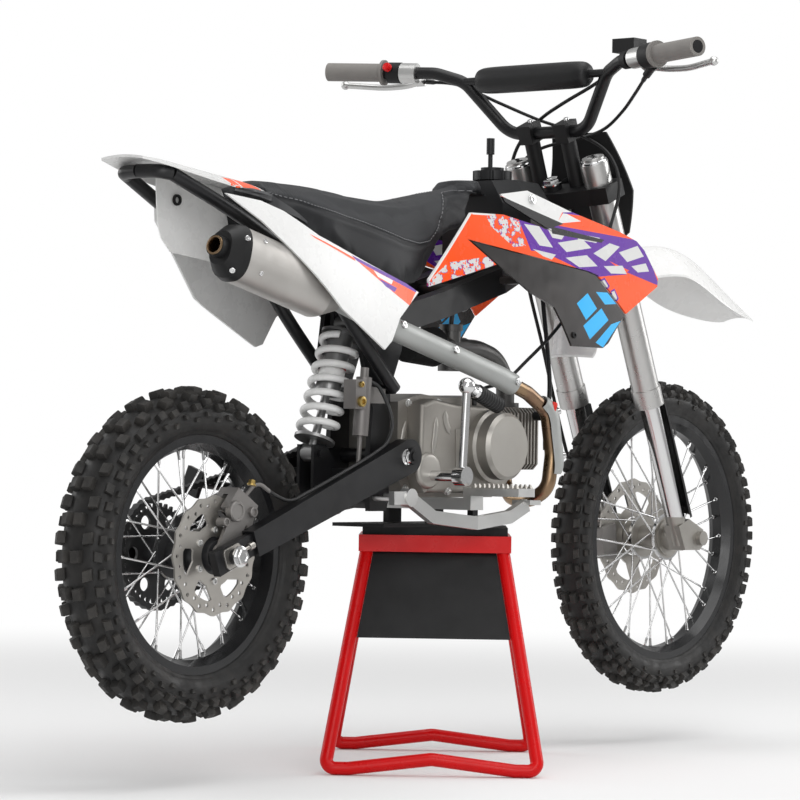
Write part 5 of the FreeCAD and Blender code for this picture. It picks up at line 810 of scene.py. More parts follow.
discSettings = {
    "front_disc": {"body": "front_wheel", "centre": wheelCentres["front"], "y": 0.050, "outer": 0.1065,
                   "inner": 0.036, "holeRing": 0.0965, "holes": 36, "boltRing": 0.044, "windowLow": 0.054,
                   "windowHigh": 0.083, "windowHalf": 19.0},
    "rear_disc": {"body": "rear_wheel", "centre": wheelCentres["rear"], "y": -0.060, "outer": 0.095,
                  "inner": 0.030, "holeRing": 0.0845, "holes": 32, "boltRing": 0.040, "windowLow": 0.049,
                  "windowHigh": 0.072, "windowHalf": 18.0},
}
sharedDisc = {"waves": 16, "wave": 0.0036, "thick": 0.0036, "hole": 0.0034, "windows": 6, "windowLean": 8.0,
              "windowSteps": 9, "windowRound": 0.003, "bolts": 6, "zigzag": 0.006}


def windowOutline(s, middle):
    # a leaning four-sided window: its two arcs joined by rounded sides, the upper arc turned on by the lean
    half, lean = np.radians([s["windowHalf"], s["windowLean"]])
    steps = np.linspace(-1, 1, s["windowSteps"])
    low = np.stack([np.full_like(steps, s["windowLow"]), middle + half * 0.72 * steps], 1)
    high = np.stack([np.full_like(steps, s["windowHigh"]), middle + lean + half * steps[::-1]], 1)
    low[[0, -1], 0] += s["windowRound"]
    high[[0, -1], 0] -= s["windowRound"]
    r, a = np.concatenate([low, high]).T
    return np.stack([r * np.cos(a), r * np.sin(a)], 1)


def makeDisc(name, s):
    # edge radius = outer - wave * |sin(waves a / 2)|^1.5, which gives round scallops with short peaks
    a = 2 * np.pi * np.arange(288) / 288
    edge = s["outer"] - s["wave"] * np.abs(np.sin(s["waves"] * a / 2)) ** 1.5
    outlines = [np.stack([edge * np.cos(a), edge * np.sin(a)], 1), circleOutline(0, 0, s["inner"], 48)]
    at = 2 * np.pi * np.arange(s["holes"]) / s["holes"]
    ring = s["holeRing"] - s["zigzag"] * (np.arange(s["holes"]) % 2)
    outlines += [circleOutline(r * np.cos(t), r * np.sin(t), s["hole"], 12) for r, t in zip(ring, at)]
    outlines += [windowOutline(s, 2 * np.pi * k / s["windows"]) for k in range(s["windows"])]
    middle = np.array([s["centre"][0], s["y"], s["centre"][1]])
    parts = [plate(outlines, s["thick"], middle)]
    out = np.sign(s["y"])
    for k in range(s["bolts"]):
        t = 2 * np.pi * (k + 0.5) / s["bolts"]
        spot = middle + np.array([s["boltRing"] * np.cos(t), out * s["thick"] / 2, s["boltRing"] * np.sin(t)])
        parts += capBolt(spot, (0, out, 0), 0.0055, 0.0035, 1)
    makePiece(name + "_waved", parts, s["body"], ["discSteel", "brightAlloy"], 30.0, (name,))


for name, settings in discSettings.items():
    makeDisc(name, {**sharedDisc, **settings})
print("discs made")

# Search trees over the frame's own surfaces, to seat small pieces on them


def surfaceOf(*names):
    # one search tree over all faces of the named CAD nodes
    points, faces, base = [], [], 0
    for name in names:
        mesh = nodes[name].data
        points.append(meshPoints(mesh))
        faces += [[corner + base for corner in face.vertices] for face in mesh.polygons]
        base += len(mesh.vertices)
    return BVHTree.FromPolygons(np.concatenate(points).tolist(), faces)


def touch(tree, start, way):
    # first point that a straight line from start meets, and the direction of the surface there, facing back
    hit, normal, index, reach = tree.ray_cast(Vector(start), Vector(way).normalized())
    if hit is None:
        return None, None
    normal = np.array(normal)
    return np.array(hit), normal if normal @ np.asarray(way) < 0 else -normal


def across(tree, x, z, side, start=0.6):
    # the first point met from one side by a straight line across the bike
    return touch(tree, (x, side * start, z), (0, -side, 0))


def applied(item):
    # the mesh with its modifiers worked in
    graph = bpy.context.evaluated_depsgraph_get()
    return bpy.data.meshes.new_from_object(item.evaluated_get(graph))


# Seat: a remeshed copy of the solid, blown up tight as foam under a cover, with a sewn seam on each side

seatSettings = {
    "voxel": 0.005, "rounding": 16, "shrink": 0.0010, "pressure": 4.0, "frames": 20, "cap": 0.005,
    "seam": [(-540, 942), (-514.1, 936.5), (-450.5, 919.6), (-342.4, 900.3), (-231, 877.2), (-183, 873),
             (-144.3, 880.2), (-107, 909.2), (-79, 943.8), (-53, 966.5), (-15, 973), (30, 974)],
    "seamWide": 0.0030, "seamDeep": 0.0017, "seamSlope": 0.9, "swell": 0.0008, "swellAt": 0.0085,
    "swellWide": 0.005, "sideFrom": 0.020, "sideFade": 0.012, "lowest": 0.845, "lowFade": 0.01,
    "gripFrom": 0.0015, "gripFade": 0.002, "stitchStep": 0.0062, "stitchLong": 0.0040,
    "stitchThick": 0.00075, "stitchRise": 0.0008, "stitchAbove": 0.0042,
    "stitchSpan": (-0.520, 0.010), "stitchLimit": 0.012,
    "stitch": [(-0.5, 0.4), (-0.38, 1), (0.38, 1), (0.5, 0.4)],
}


def blownUp(item, pressure, frames, cap):
    # cloth under inner pressure with no gravity; no point may end further than the cap from where it began
    start = meshPoints(item.data)
    cloth = item.modifiers.new("fill", "CLOTH")
    cloth.settings.use_pressure = True
    cloth.settings.uniform_pressure_force = pressure
    cloth.settings.effector_weights.gravity = 0.0
    cloth.settings.quality = 5
    cloth.settings.tension_stiffness = cloth.settings.compression_stiffness = 15.0
    cloth.point_cache.frame_start, cloth.point_cache.frame_end = 1, frames
    for frameNumber in range(1, frames + 1):
        bpy.context.scene.frame_set(frameNumber)
    swollen = applied(item)
    move = meshPoints(swollen) - start
    bpy.data.meshes.remove(swollen)
    item.modifiers.remove(cloth)
    bpy.context.scene.frame_set(1)
    reach = np.linalg.norm(move, axis=1, keepdims=True)
    move *= np.minimum(1.0, cap / np.maximum(reach, 1e-9))
    item.data.vertices.foreach_set("co", (start + move).ravel())
    item.data.update()


def seamHeight(s, x):
    # height of the seam at x, through its points
    along, up = metres(s["seam"]).T
    return np.interp(x, along, up)


def remeshedSeat(s):
    # a copy of the solid, rebuilt as an even grid, smoothed and moved inwards by shrink
    mesh = nodes["seat"].data.copy()
    mesh.materials.clear()
    shape = bmesh.new()
    shape.from_mesh(mesh)
    bmesh.ops.remove_doubles(shape, verts=shape.verts, dist=0.0001)
    bmesh.ops.recalc_face_normals(shape, faces=shape.faces)
    shape.to_mesh(mesh)
    shape.free()
    seat = addObject("seat_cover", mesh)
    grid = seat.modifiers.new("grid", "REMESH")
    grid.mode, grid.voxel_size = "VOXEL", s["voxel"]
    soft = seat.modifiers.new("soft", "SMOOTH")
    soft.factor, soft.iterations = 0.5, s["rounding"]
    remeshed = applied(seat)
    seat.modifiers.clear()
    seat.data = remeshed
    inwards = meshPoints(remeshed) - s["shrink"] * meshPoints(remeshed, "normal")
    remeshed.vertices.foreach_set("co", inwards.ravel())
    remeshed.update()
    return seat


def makeSeat(s):
    # the cover is blown up and made finer, then dented along the seam: a bell inwards, a low swell beside it
    seat = remeshedSeat(s)
    blownUp(seat, s["pressure"], s["frames"], s["cap"])
    finer = seat.modifiers.new("finer", "SUBSURF")
    finer.levels = finer.render_levels = 1
    dense = applied(seat)
    seat.modifiers.clear()
    seat.data = dense
    points, normal = meshPoints(dense), meshPoints(dense, "normal")
    off = (points[:, 2] - seamHeight(s, points[:, 0])) * s["seamSlope"]
    outer = np.clip((np.abs(points[:, 1]) - s["sideFrom"]) / s["sideFade"], 0, 1)
    outer *= np.clip((points[:, 2] - s["lowest"]) / s["lowFade"], 0, 1)
    dent = (-s["seamDeep"] * np.exp(-(off / s["seamWide"]) ** 2)
            + s["swell"] * np.exp(-((np.abs(off) - s["swellAt"]) / s["swellWide"]) ** 2)) * outer
    points += normal * dent[:, None]
    dense.vertices.foreach_set("co", points.ravel())
    grip = dense.attributes.new("grip", "FLOAT", "POINT")
    held = np.clip((off - s["gripFrom"]) / s["gripFade"], 0, 1)
    grip.data.foreach_set("value", held.astype(np.float32))
    dense.update()
    dense.shade_smooth()
    dense.materials.clear()
    dense.materials.append(materials["seatCover"])
    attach(seat, "chassis")
    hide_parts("seat")
    return BVHTree.FromPolygons(points.tolist(), [list(face.vertices) for face in dense.polygons])


def makeStitches(s, tree):
    # short threads from one point of the cover to the next, a little above the seam, thinner at both ends;
    # their grey is a painted highlight on dark thread
    parts, thick = [], s["stitchThick"]
    for side in (-1, 1):
        for x in np.arange(*s["stitchSpan"], s["stitchStep"]):
            ends = []
            for place in (x, x + s["stitchLong"]):
                hit, facing = across(tree, place, float(seamHeight(s, place)) + s["stitchAbove"], side, 0.2)
                if hit is not None:
                    ends.append(hit + facing * s["stitchRise"])
            if len(ends) < 2:
                continue
            way = ends[1] - ends[0]
            long = np.linalg.norm(way)
            if long < s["stitchLimit"]:
                profile = np.array(s["stitch"]) * (long, thick)
                parts.append(turned((ends[0] + ends[1]) / 2, way, profile, 5))
    makePiece("seat_stitches", parts, "chassis", ["threadPaintedHighlight"], 40.0, ())


makeStitches(seatSettings, makeSeat(seatSettings))
print("seat made")

# Bar pad: a foam roll in a sewn cover, drawn in at its ends, with a closing flap behind

padSettings = {"radius": 0.0245, "half": 0.1245, "around": 72, "along": 96, "drawn": 0.16, "flap": (3.6, 5.2),
               "flapRise": 0.035, "flapEdges": (0.02, 0.03), "lobes": 9, "lobe": 0.010, "share": 0.965}


def makePad(s):
    # r = radius * (1 - drawn * edge^8) * root of (1 - edge^30) * (1 + small lobes), with edge = |y| / half;
    # the flap is a step between its two angles
    low, high = (np.array(corner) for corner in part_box("bar_pad"))
    middle = (low + high) / 2
    y = s["half"] * np.sin(np.linspace(-np.pi / 2, np.pi / 2, s["along"]))
    edge = np.abs(y) / s["half"]
    around = 2 * np.pi * np.arange(s["around"]) / s["around"]
    body = s["radius"] * (1 - s["drawn"] * edge ** 8) * np.sqrt(np.clip(1 - edge ** 30, 0.0, 1))
    wrinkle = 1 + s["lobe"] * np.sin(s["lobes"] * around)[None] * (edge ** 4)[:, None]
    (start, stop), (soft, softer) = s["flap"], s["flapEdges"]
    rise, fall = 1 + np.exp(-(around - start) / soft), 1 + np.exp((around - stop) / softer)
    flap = 1 + s["flapRise"] / rise / fall
    r = body[:, None] * wrinkle * (s["share"] * flap)[None]
    grid = np.stack([middle[0] + r * np.cos(around), np.broadcast_to((middle[1] + y)[:, None], r.shape),
                     middle[2] + r * np.sin(around)], -1)
    faces = gridFaces(s["along"], s["around"], wrapColumns=True).tolist()
    faces += [list(range(s["around"])), list(range((s["along"] - 1) * s["around"], s["along"] * s["around"]))]
    pad = makePiece("bar_pad_cover", [(grid.reshape(-1, 3), faces, 0)], "front_fork", ["padCover"], 60.0,
                    ("bar_pad",))


makePad(padSettings)
print("bar pad made")

# Fasteners: each is set on its node's surface, met by a straight line across the bike

cases = "engine_cases"
fastenerSettings = [
    # kind, radius, height, finish, then (node, x, z, side it is met from) of each
    ("cap", 0.0068, 0.0045, "chrome", ("exhaust_midpipe", -0.2656, 0.7384, -1),
     ("exhaust_midpipe", -0.1363, 0.7011, -1), ("exhaust_midpipe", 0.025, 0.652, -1)),
    ("hex", 0.0105, 0.008, "chrome", ("swingarm", -0.2293, 0.5222, -1), ("swingarm", -0.2293, 0.5222, 1)),
    ("hex", 0.0135, 0.009, "chrome", ("swingarm", -0.646, 0.365, -1), ("swingarm", -0.646, 0.365, 1)),
    ("hex", 0.0055, 0.005, "brightAlloy", (cases, -0.18, 0.612, -1), (cases, -0.1, 0.614, -1),
     (cases, 0.05, 0.614, -1), (cases, -0.185, 0.47, -1), (cases, -0.11, 0.466, -1),
     (cases, 0.05, 0.466, -1), (cases, -0.19, 0.54, -1), (cases, -0.18, 0.612, 1),
     (cases, -0.1, 0.614, 1), (cases, 0.05, 0.614, 1), (cases, -0.11, 0.466, 1)),
    ("cap", 0.0088, 0.006, "goldPlate", ("rear_brake", -0.317, 0.612, -1)),
    ("cap", 0.005, 0.004, "goldPlate", ("rear_brake", -0.317, 0.64, -1)),
    ("cap", 0.0085, 0.004, "chrome", ("shrouds", 0.07, 0.964, -1), ("shrouds", 0.07, 0.964, 1)),
    ("cap", 0.0055, 0.003, "satinBlack", ("lower_shrouds", 0.15, 0.735, -1),
     ("lower_shrouds", 0.15, 0.735, 1)),
    ("cap", 0.004, 0.0028, "chrome", ("muffler", -0.618, 0.856, -1), ("muffler", -0.63, 0.806, -1)),
    ("cap", 0.0048, 0.0034, "chrome", ("muffler_cap", -0.664, 0.858, -1), ("muffler_cap", -0.684, 0.809, -1)),
]


def makeFasteners(rows):
    # a head stands square on the surface where the line across the bike meets it; one piece holds each finish
    groups, trees = {}, {}
    for kind, radius, height, finish, *spots in rows:
        maker = hexBolt if kind == "hex" else capBolt
        for node, x, z, side in spots:
            if node not in trees:
                trees[node] = surfaceOf(node)
            hit, facing = across(trees[node], x, z, side)
            if hit is None:
                print("no surface for a fastener on", node, x, z)
                continue
            groups.setdefault(finish, []).extend(maker(hit, facing, radius, height))
    for finish, parts in groups.items():
        makePiece("fasteners_" + finish, parts, "chassis", [finish], 30.0)


makeFasteners(fastenerSettings)
print("fasteners made")

# Exhaust: bronze liner in the outlet, and a shield round the rising header

exhaustSettings = {
    "outlet": (-0.70500, -0.10607, 0.84691), "backwards": (-0.97323, -0.04282, 0.22579),
    "liner": [(-0.026, 0.0118), (0.0004, 0.0118), (0.0016, 0.0124), (0.0020, 0.0136), (0.0014, 0.0152),
              (-0.0004, 0.0160), (-0.0012, 0.0160), (-0.0012, 0.0123), (-0.026, 0.0123)],
    "guardSide": -0.1180,
    "guardPath": [(112, 617.5), (126, 606), (134.5, 590), (138.5, 570), (142.5, 550), (146.5, 530),
                  (149.5, 512), (149.5, 496)],
    "guardRadius": 0.0205, "guardWide": 0.0196, "guardFrom": -38.0, "guardTo": 104.0, "guardThick": 0.0016,
    "guardBolts": (7, 22), "boltWay": (0.45, 0.9), "clipAt": (0.1280, -0.1330, 0.6010),
    "clipWay": (0.2, -0.15, 0.9), "clip": [(-0.004, 0.0052), (0.0, 0.0062), (0.016, 0.0062), (0.019, 0.0045)],
}


def ringOf(centre, axis, section, sides=40, mark=0):
    # a closed section of (along, radius) carried round the axis
    points, faces, mark = turned(centre, axis, section, sides, mark)
    return points, gridFaces(len(section), sides, wrapRows=True, wrapColumns=True), mark


def makeExhaustTrim(s):
    # the shield is part of an oval ring carried down the pipe: path + radius * sin a * outward + wide * cos a
    # * back; its angle runs from behind, past the outside, to the front
    liner = ringOf(s["outlet"], s["backwards"], s["liner"])
    makePiece("outlet_liner", [liner], "chassis", ["bronzeSteel"], 40.0)
    path = smoothPath([(x, s["guardSide"], z) for x, z in metres(s["guardPath"])], 30)
    along = unit(np.gradient(path, axis=0))
    outward = np.broadcast_to(np.array([0.0, -1.0, 0.0]), along.shape)
    front = unit(np.cross(outward, along))
    front *= np.sign(front[:, :1])
    angle = np.radians(np.linspace(s["guardFrom"] + 90, s["guardTo"] + 90, 22))
    share = np.linspace(0, 1, len(path))
    taper = (1 - 0.25 * np.abs(2 * share - 1) ** 6)[:, None, None]
    grids = []
    for grow in (0.0, s["guardThick"]):
        aside = (s["guardRadius"] + grow) * np.sin(angle)[None, :, None] * outward[:, None]
        back = (s["guardWide"] + grow) * np.cos(angle)[None, :, None] * -front[:, None]
        grids.append(path[:, None] + taper * (aside + back))
    rows, columns = grids[0].shape[:2]
    loop = np.concatenate([grids[0], grids[1][:, ::-1]], axis=1)
    faces = gridFaces(rows, 2 * columns, wrapColumns=True).tolist()
    for row in (0, rows - 1):
        start = row * 2 * columns
        faces += [[start + k, start + k + 1, start + 2 * columns - 2 - k, start + 2 * columns - 1 - k]
                  for k in range(columns - 1)]
    parts = [(loop.reshape(-1, 3), faces, 0)]
    for at in s["guardBolts"]:
        way = unit(s["boltWay"][0] * outward[at] + s["boltWay"][1] * front[at])
        foot = path[at] + (s["guardRadius"] + s["guardThick"] - 0.0006) * way
        parts += capBolt(foot, way, 0.0058, 0.006, 1)
    makePiece("header_shield", parts, "chassis", ["shieldSilver", "chrome"], 35.0)
    makePiece("cable_clip", [turned(s["clipAt"], s["clipWay"], s["clip"], 10)], "chassis", ["redLabel"], 40.0)


makeExhaustTrim(exhaustSettings)

# Kick pedal: a ribbed rubber sleeve; stop button: a red cap; fork tops and stem: bright nuts

smallSettings = {
    "sleeveAt": (-0.1270, -0.1700, 0.6308), "sleeveWay": (0.066, 0.0, -0.023), "sleeveLong": 0.062,
    "sleeveRibs": 9, "sleeveLow": 0.0123, "sleeveHigh": 0.0142, "sleeveEnd": 0.0085,
    "buttonAt": (0.1665, 0.2810, 1.2220), "buttonWay": (-0.949, 0.0, 0.316),
    "button": [(-0.006, 0.0078), (0.0010, 0.0078), (0.0026, 0.0068), (0.0030, 0.0045)],
    "cap": [(-0.001, 0.0235), (0.0035, 0.0235), (0.005, 0.022), (0.005, 0.0140)],
    "nut": [(0.004, 0.0125), (0.0095, 0.0125), (0.011, 0.0112), (0.011, 0.006)],
    "forkTop": (0.3048, 0.084, 1.0459), "forkUp": (-0.3875, 0.0, 0.9219), "stemTop": (0.2945, 0.0, 1.0100),
    "clampDepth": 0.004, "clampStep": 0.0095,
}


def makeSmallParts(s):
    # sleeve radius = low + (high - low) * |cos|^0.6 along its length; clamp bolts stand on the crown's top
    at = np.linspace(0, 1, 6 * s["sleeveRibs"] + 1)
    wave = np.abs(np.cos(np.pi * s["sleeveRibs"] * at)) ** 0.6
    radius = s["sleeveLow"] + (s["sleeveHigh"] - s["sleeveLow"]) * wave
    profile = np.stack([at * s["sleeveLong"], radius], 1)
    profile = np.vstack([[0, s["sleeveEnd"]], profile, [s["sleeveLong"], s["sleeveEnd"]]])
    sleeve = turned(s["sleeveAt"], s["sleeveWay"], profile, 28)
    makePiece("kick_pedal_sleeve", [sleeve], "chassis", ["hoseRubber"], 60.0)
    button = turned(s["buttonAt"], s["buttonWay"], s["button"], 24)
    makePiece("stop_button", [button], "front_fork", ["standRed"], 40.0)
    parts = []
    for side in (-1, 1):
        top = np.array(s["forkTop"]) * (1, side, 1)
        parts += [turned(top, s["forkUp"], s["cap"], 36), turned(top, s["forkUp"], s["nut"], 6)]
    parts += hexBolt(np.array(s["stemTop"]), s["forkUp"], 0.0155, 0.010)
    cloud = meshPoints(nodes["triple_clamps"].data)
    crown = cloud[cloud[:, 2] > cloud[:, 2].max() - s["clampDepth"]]
    tree = surfaceOf("triple_clamps")
    for side in (-1, 1):
        middle = crown[crown[:, 1] * side > 0].mean(0)
        for step in (-s["clampStep"], s["clampStep"]):
            hit, facing = touch(tree, (middle[0] + step, middle[1], middle[2] + 0.1), (0, 0, -1))
            if hit is not None:
                parts += capBolt(hit, facing, 0.0052, 0.0055)
    makePiece("fork_top_nuts", parts, "front_fork", ["chrome"], 30.0)


makeSmallParts(smallSettings)
print("small parts made")

# Control cables: the solids' own routes, run between the frame and the fork

cableSettings = {
    "routes": [
        [(232, 242.2, 1198.4), (246, 176, 1190), (284, 118, 1160), (326, 60, 1130), (348, -10, 1104),
         (344, -84, 1066), (322, -128, 1006), (294, -132, 936), (258, -130, 866), (212, -122, 798),
         (160, -108, 738), (106, -94, 690), (54, -88, 654), (-2, -86, 640), (-24, -85, 628),
         (-26, -85, 610.6)],
        [(212.5, -261.4, 1181.9), (246, -214, 1156), (288, -156, 1130), (328, -88, 1106), (354, -14, 1094),
         (352, 74, 1078), (342, 128, 1036), (316, 142, 976), (288, 136, 918), (254, 128, 862),
         (204, 106, 812), (146, 70, 786), (90, 32, 778), (46, 8, 776), (18, 0, 768), (14, 0, 750.4)],
    ],
    "radius": 0.0030, "rings": 190, "sides": 12, "ferruleRadius": 0.0043, "ferruleLong": 0.020,
    "bendFrom": (0.330, 0.0, 0.815), "bendTo": (0.250, 0.0, 1.005),
}


def makeCables(s):
    # a round hose along each route, with a ferrule at both ends that points along its first stretch
    parts = []
    for points in s["routes"]:
        path = smoothPath(metres(points), s["rings"])
        parts.append(swept(path, s["radius"], s["sides"], 0, lift=(0.13, 0.21, 0.97)))
        long, wide = s["ferruleLong"], s["ferruleRadius"]
        ferrule = [(0.0, wide * 0.9), (0.001, wide), (long * 0.8, wide), (long, wide * 0.8)]
        for end, inward in ((path[0], path[6] - path[0]), (path[-1], path[-7] - path[-1])):
            parts.append(turned(end, inward, ferrule, 14, 1))
    item = makePiece("bending_cables", parts, None, ["hoseRubber", "darkSteel"], 40.0, ("control_cables",))
    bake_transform(item)


makeCables(cableSettings)
print("cables made")

# Tail: a white inner liner on the left under the fender, a ring on it, and a trim strip behind the seat

tailSettings = {
    "linerTop": [(-697.1, 935.1), (-660, 936), (-620, 936), (-581.4, 934), (-545, 930)],
    "linerLow": [(-518, 900), (-515.8, 874.1), (-540, 845), (-562.3, 830), (-660.5, 841.1), (-682, 862),
                 (-691.4, 885.1)],
    "linerSide": 0.030, "linerThick": 0.0024, "linerGap": 0.0006, "feelFrom": 0.05,
    "ringAt": (-0.6506, 0.0272, 0.9237),
    "ring": [(0.0, 0.0052), (0.0035, 0.0055), (0.0035, 0.0088), (0.0, 0.0092)],
    "trimUpper": [(-625.3, 941.4), (-579.5, 943.3), (-543.4, 940.2), (-527.8, 940.5), (-501.3, 924.9),
                  (-471.7, 897.2)],
    "trimLower": [(-625.3, 937.4), (-579.3, 932.8), (-550, 928), (-522.2, 921), (-490, 905), (-471.7, 893)],
    "trimThick": 0.0030, "trimBolt": (-0.5300, 0.9325),
}


def draped(tree, side, upper, lower, thick, columns=28, rows=5):
    # a strip laid on what it meets across the bike: rows run from the lower to the upper line
    share = np.linspace(0, 1, rows)[:, None, None]
    lower, upper = smoothPath(metres(lower), columns), smoothPath(metres(upper), columns)
    grid = (1 - share) * lower[None] + share * upper[None]
    depth = np.full(grid.shape[:2], np.nan)
    for index in np.ndindex(depth.shape):
        hit, facing = across(tree, *grid[index], side)
        if hit is not None:
            depth[index] = hit[1]
    depth = np.where(np.isnan(depth), np.nanmedian(depth), depth)
    flat = np.stack([grid[..., 0], depth, grid[..., 1]], -1)
    outer = flat + np.array([0.0, side * thick, 0.0])
    inner = flat - np.array([0.0, side * 0.001, 0.0])
    loop = np.concatenate([outer, inner[::-1]], axis=0)
    faces = gridFaces(2 * rows, columns, wrapRows=True).tolist()
    for column in (0, columns - 1):
        faces += [[line * columns + column for line in (row, row + 1, 2 * rows - 2 - row, 2 * rows - 1 - row)]
                  for row in range(rows - 1)]
    return loop.reshape(-1, 3), faces, 0


def makeTail(s):
    # the liner's upper edge follows the fender's underside; the trim strips lie on the seat and the panels
    tree = surfaceOf("rear_fender")
    top = []
    for x, z in metres(s["linerTop"]):
        hit, facing = touch(tree, (x, s["linerSide"], z - s["feelFrom"]), (0, 0, 1))
        top.append((x, hit[2] - s["linerGap"] if hit is not None else z))
    outline = np.vstack([top, metres(s["linerLow"])])
    liner = plate([outline], s["linerThick"], (0.0, s["linerSide"], 0.0))
    makePiece("tail_liner", [liner], "chassis", ["whitePlastic"], 32.0, bevel=0.0006)
    ring = ringOf(s["ringAt"], (0, -1, 0), s["ring"], 32)
    makePiece("tail_ring", [ring], "chassis", ["satinBlack"], 40.0)
    parts = []
    around = surfaceOf("seat", "side_panels", "rear_fender")
    for side in (-1, 1):
        parts.append(draped(around, side, s["trimUpper"], s["trimLower"], s["trimThick"]))
        hit, facing = across(around, *s["trimBolt"], side)
        if hit is not None:
            parts += capBolt(hit + np.array([0, side * s["trimThick"], 0]), (0, side, 0), 0.0055, 0.003, 1)
    makePiece("seat_trim", parts, "chassis", ["seatTrim", "darkSteel"], 40.0)


makeTail(tailSettings)
print("tail made")

# Rear end: housings and bolts on the caliper, and a bright plate with a chain adjuster at each axle end

rearSettings = {
    "housing": (-0.6213, 0.4347),
    "housingProfile": [(-0.004, 0.0165), (0.007, 0.0165), (0.009, 0.0150), (0.009, 0.0120), (0.0075, 0.0112)],
    "pins": [(-0.5800, 0.4330, 0.0085), (-0.6440, 0.4180, 0.0070)],
    "pinProfile": [(-0.012, 1.0), (0.0050, 1.0), (0.0062, 0.86), (0.0062, 0.62), (0.0040, 0.55)],
    "bleedAt": (-0.5930, 0.4760), "bleedWay": (0.25, 0.0, 0.97), "bleedSide": -0.090,
    "axle": wheelCentres["rear"], "armAngle": 20.6, "plateLong": 0.040, "plateHigh": 0.033,
    "plateThick": 0.0035, "feelAt": 0.014,
    "corners": [(-1, -0.7), (-0.8, -1), (0.8, -1), (1, -0.7), (1, 0.7), (0.8, 1), (-0.8, 1), (-1, 0.7)],
    "screwFrom": 0.022, "screwTo": 0.050, "screwOff": 0.001,
    "screw": [(0.0, 0.0032), (0.6, 0.0032), (0.62, 0.0062), (1.0, 0.0062)],    # share of the length, radius
}


def makeRearTrim(s):
    # turned housings stand on the caliper's outer face; the plates are eight-sided and lie along the arm
    brake = surfaceOf("rear_brake")
    hit, facing = across(brake, *s["housing"], -1)
    parts = [turned((s["housing"][0], hit[1], s["housing"][1]), (0, -1, 0), s["housingProfile"], 40)]
    for x, z, radius in s["pins"]:
        profile = [(along, share * radius) for along, share in s["pinProfile"]]
        parts.append(turned((x, hit[1], z), (0, -1, 0), profile, 24))
    gold = hexBolt((s["bleedAt"][0], s["bleedSide"], s["bleedAt"][1]), s["bleedWay"], 0.0058, 0.008, 1)
    makePiece("rear_caliper_trim", parts + gold, "chassis", ["brakeGrey", "goldPlate"], 35.0)
    turn = np.radians(s["armAngle"])
    along, up = np.array([np.cos(turn), np.sin(turn)]), np.array([-np.sin(turn), np.cos(turn)])
    outline = np.array([np.array(s["axle"]) + a * s["plateLong"] / 2 * along + b * s["plateHigh"] / 2 * up
                        for a, b in s["corners"]])
    arm = surfaceOf("swingarm")
    parts = []
    for side in (-1, 1):
        hit, facing = across(arm, *(np.array(s["axle"]) + s["feelAt"] * along), side)
        parts.append(plate([outline], s["plateThick"], (0.0, hit[1] + side * s["plateThick"] / 2, 0.0)))
        x, z = np.array(s["axle"]) + s["screwFrom"] * along
        long = s["screwTo"] - s["screwFrom"]
        screw = [(long * share, radius) for share, radius in s["screw"]]
        parts.append(turned((x, hit[1] + side * s["screwOff"], z), (along[0], 0, along[1]), screw, 12))
    makePiece("axle_plates", parts, "chassis", ["discSteel"], 30.0, bevel=0.0005)


makeRearTrim(rearSettings)
print("rear trim made")

# Engine: ribs, a boss and a raised field cast on the right cover; teeth on the pegs; a label on the damper

engineSettings = {
    "ribs": [
        [(-143.8, 589.1), (-147, 560), (-152.9, 525.1)],
        [(-185, 581.9), (-193, 550), (-198.5, 518)],
        [(-187, 504.8), (-170, 488), (-149.1, 478)],
        [(-120, 600), (-118, 580), (-105, 560)],
    ],
    "ribRadius": 0.0062, "ribFlat": 0.55, "ribSteps": 14, "ribSpan": (0.04, 0.96), "ribTaper": 1.5,
    "boss": (-0.1650, 0.5000),
    "bossProfile": [(-0.001, 0.031), (0.003, 0.030), (0.006, 0.0265), (0.0065, 0.022)],
    "field": [(-93.1, 569.5), (-50, 570.2), (-49, 515.7), (-91.5, 505.2)],
    "fieldThick": 0.0030,
    "coverSide": -0.098,
    "toothRows": (-0.0995, -0.0625), "toothAlong": (0.146, 0.234), "teeth": 10, "toothAbove": 0.56,
    "tooth": [(-0.001, 0.0058), (0.0068, 0.0016)],
    "damperFoot": (-0.348, 0.0, 0.527), "damperWay": (80.0, 0.0, 214.0),
    "label": [(0.126, 0.0212), (0.1262, 0.0214), (0.1478, 0.0214), (0.148, 0.0212)],
    "stripe": [(0.1485, 0.0212), (0.1487, 0.0215), (0.1533, 0.0215), (0.1535, 0.0212)],
}


